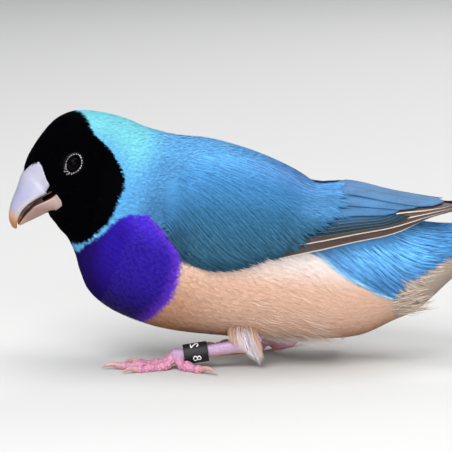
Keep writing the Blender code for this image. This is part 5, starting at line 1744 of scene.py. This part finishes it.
def vent_wisps(finish, random):
    """Fine loose barbs behind the legs, swept to the rear."""
    count = VENT_WISPS
    side = np.where(random.uniform(0, 1, count) < 0.5, -1.0, 1.0)
    station, down = random.uniform(14.0, 14.9, count), np.radians(random.uniform(118, 156, count))
    roots = body_surface(station, -side * down, -0.3)
    way = np.stack([np.ones(count), side * 0.12, random.uniform(-0.05, 0.35, count)], axis=-1)
    tips = roots + way * random.uniform(2.6, 5.2, count)[:, None]
    bow = (0.0, 0.0, -1.0) * random.uniform(0.1, 0.6, count)[:, None]
    normal = np.stack([np.zeros(count), side, np.full(count, 0.3)], axis=-1)
    width, tints = random.uniform(0.09, 0.16, count), (PLUMES["undertail"], linear(196, 176, 158))
    shape, tint = loose_barbs(roots, tips, bow, width, normal, *tints, random)
    lean = loose_normals((0.0, 0.0, 0.0), count, random)
    normals = unit(0.4 * lean + np.repeat(normal, LOOSE_POINTS, axis=0))
    maps = {"OFBake": bake_patches(roots)}
    new_piece("vent_wisps", shape, finish, "body_feather", tint=tint, maps=maps, normals=normals)


FLOOR_SIZE = 6.0  # from the middle to each side, in metres
LAMPS = {  # place, size and watts
    "window": ((-0.25, -0.60, 0.70), 0.55, 7.5),
    "overhead": ((0.15, 0.05, 0.95), 0.8, 7.0),
    "fill": ((0.10, -0.90, 0.12), 0.9, 9.0),
    "rim": ((0.30, 0.75, 0.55), 0.5, 3.0),
}
LAMP_AIM = (ORIGIN_X - 20, 0, 25)


def make_stage():
    """A plain pale floor that runs past the frame, and soft studio light."""
    mesh = bpy.data.meshes.new("floor")
    size = FLOOR_SIZE
    corners = [(-size, -size, 0), (size, -size, 0), (size, size, 0), (-size, size, 0)]
    mesh.from_pydata(corners, [], [(0, 1, 2, 3)])
    paper = Shading("pale paper")
    paper.feed(paper.tree.nodes["Principled BSDF"], {"Base Color": (0.50, 0.50, 0.49, 1.0), "Roughness": 0.9})
    mesh.materials.append(paper.material)
    placed("floor", mesh)
    world = bpy.data.worlds.new("soft room")
    world.use_nodes = True
    world.node_tree.nodes["Background"].inputs["Color"].default_value = (0.86, 0.89, 0.93, 1.0)
    world.node_tree.nodes["Background"].inputs["Strength"].default_value = 0.38
    bpy.context.scene.world = world
    for name, (place, size, watts) in LAMPS.items():
        lamp = bpy.data.lights.new(name, "AREA")
        lamp.shape = "DISK"
        lamp.size = size
        lamp.energy = watts
        lit = placed(name, lamp)
        lit.location = place
        aim = Vector(to_frame(LAMP_AIM)) - Vector(place)
        lit.rotation_euler = aim.to_track_quat("-Z", "Y").to_euler()


def make_camera():
    """The photograph's view: from the bird's left, a little above, through a long lens."""
    lens = bpy.data.cameras.new("view")
    lens.sensor_width = SENSOR
    lens.lens = SENSOR * CAMERA_DISTANCE / FRAME_WIDTH
    lens.clip_start = 0.01
    lens.clip_end = 20.0
    camera = placed("view", lens)
    aim = Vector(CAMERA_AIM) * MM
    back = Vector((0.0, -math.cos(CAMERA_ELEVATION), math.sin(CAMERA_ELEVATION)))
    camera.location = aim + back * CAMERA_DISTANCE * MM
    camera.rotation_euler = (-back).to_track_quat("-Z", "Y").to_euler()
    bpy.context.scene.camera = camera


COATS = (  # name, stations, tufts, slot, finish and the angles round the body that it covers
    ("coat_head", (0.0, 4.9), 3900, "mask_feather", "velvet", "all"),
    ("coat_neck", (4.9, 7.3), 3800, "collar_feather", "silky", "all"),
    ("coat_breast", (7.3, 9.6), 3500, "body_feather", "violet", "all"),
    ("coat_belly", (9.6, 12.2), 2900, "body_feather", "soft", "below"),
    ("coat_vent", (12.2, 14.6), 2400, "body_feather", "soft", "below"),
    ("coat_back", (9.6, 14.6), 2400, "body_feather", "silky", "above"),
    ("coat_rump", (14.6, 17.7), 3000, "rump_feather", "silky", "all"),
)
COAT_ANGLES = {"all": (0.0, 360.0), "below": (66.0, 294.0), "above": (-66.0, 66.0)}
WING_TUFTS = 3900


def main():
    """All pieces of the bird, from its skin out to the loose feathers, then the room round it."""
    skin = plumage_finish("skin under the plumage", 0.9, 0.0, specular=0.04)
    finishes = {
        "velvet": plumage_finish("velvet black feather", 0.9, 0.0, specular=0.015),
        "silky": plumage_finish("silky blue feather", 0.8, 0.0, specular=0.02),
        "violet": plumage_finish("violet breast feather", 0.65, 0.0, specular=0.1),
        "soft": plumage_finish("soft cream feather", 0.8, 0.05, specular=0.08),
    }
    make_skin(skin)
    for seed, (name, stations, tufts, slot, finish, side) in enumerate(COATS, 1):
        angles = tuple(math.radians(angle) for angle in COAT_ANGLES[side])
        body_coat(name, stations, tufts, slot, finishes[finish], angles, seed)
    make_wing_pads(skin)
    wing_coats(finishes["silky"], WING_TUFTS)
    quill = vane_finish("grey flight feather", PLUMES["quill edge"], linear(60, 54, 56), 1, 0.12)
    flight = vane_finish("blue flight feather", linear(88, 124, 150), linear(40, 62, 80), 1, 0.05)
    rim, shaft = linear(112, 96, 108), linear(44, 72, 98)
    rimmed = vane_finish("blue flight feather with a brown rim", rim, shaft, -1, 0.09, 0.0)
    make_wing_vanes({"primary": quill, "secondary": flight, "tertial": rimmed})
    make_tail(vane_finish("black tail feather", linear(60, 60, 70), linear(14, 12, 14), 1, 0.05))
    make_bill(plain_finish("pale bill horn", None, 0.38, coat=0.15, mottle=0.05, scale=700.0, relief=0.15))
    make_tongue(plain_finish("moist mouth", None, 0.25, coat=0.5))
    make_eyes(
        plain_finish("wet dark eye", None, 0.07, specular=0.03, mottle=0.0, relief=0.0),
        plain_finish("dark lid skin", linear(10, 9, 13), 0.7, specular=0.1),
        plain_finish("white lid beads", linear(246, 240, 250), 0.5),
    )
    scaly = {"coat": 0.1, "mottle": 0.14, "scale": 1500.0, "relief": 0.5, "depth": 0.00006}
    make_legs(
        plain_finish("pink scaly skin", None, 0.55, **scaly),
        plain_finish("claw horn", linear(176, 132, 132), 0.4, mottle=0.2, scale=1200.0),
    )
    make_band(
        plain_finish("black band plastic", linear(17, 16, 21), 0.5, specular=0.3),
        plain_finish("white band ink", linear(225, 222, 220), 0.6),
    )
    make_thighs(plumage_finish("white thigh feather", 0.8, 0.2, specular=0.2))
    random = np.random.default_rng(70)
    belly_wisps(finishes["soft"], random)
    vent_wisps(finishes["soft"], random)
    make_stage()
    make_camera()
    bpy.context.scene.view_settings.view_transform = "Standard"


main()
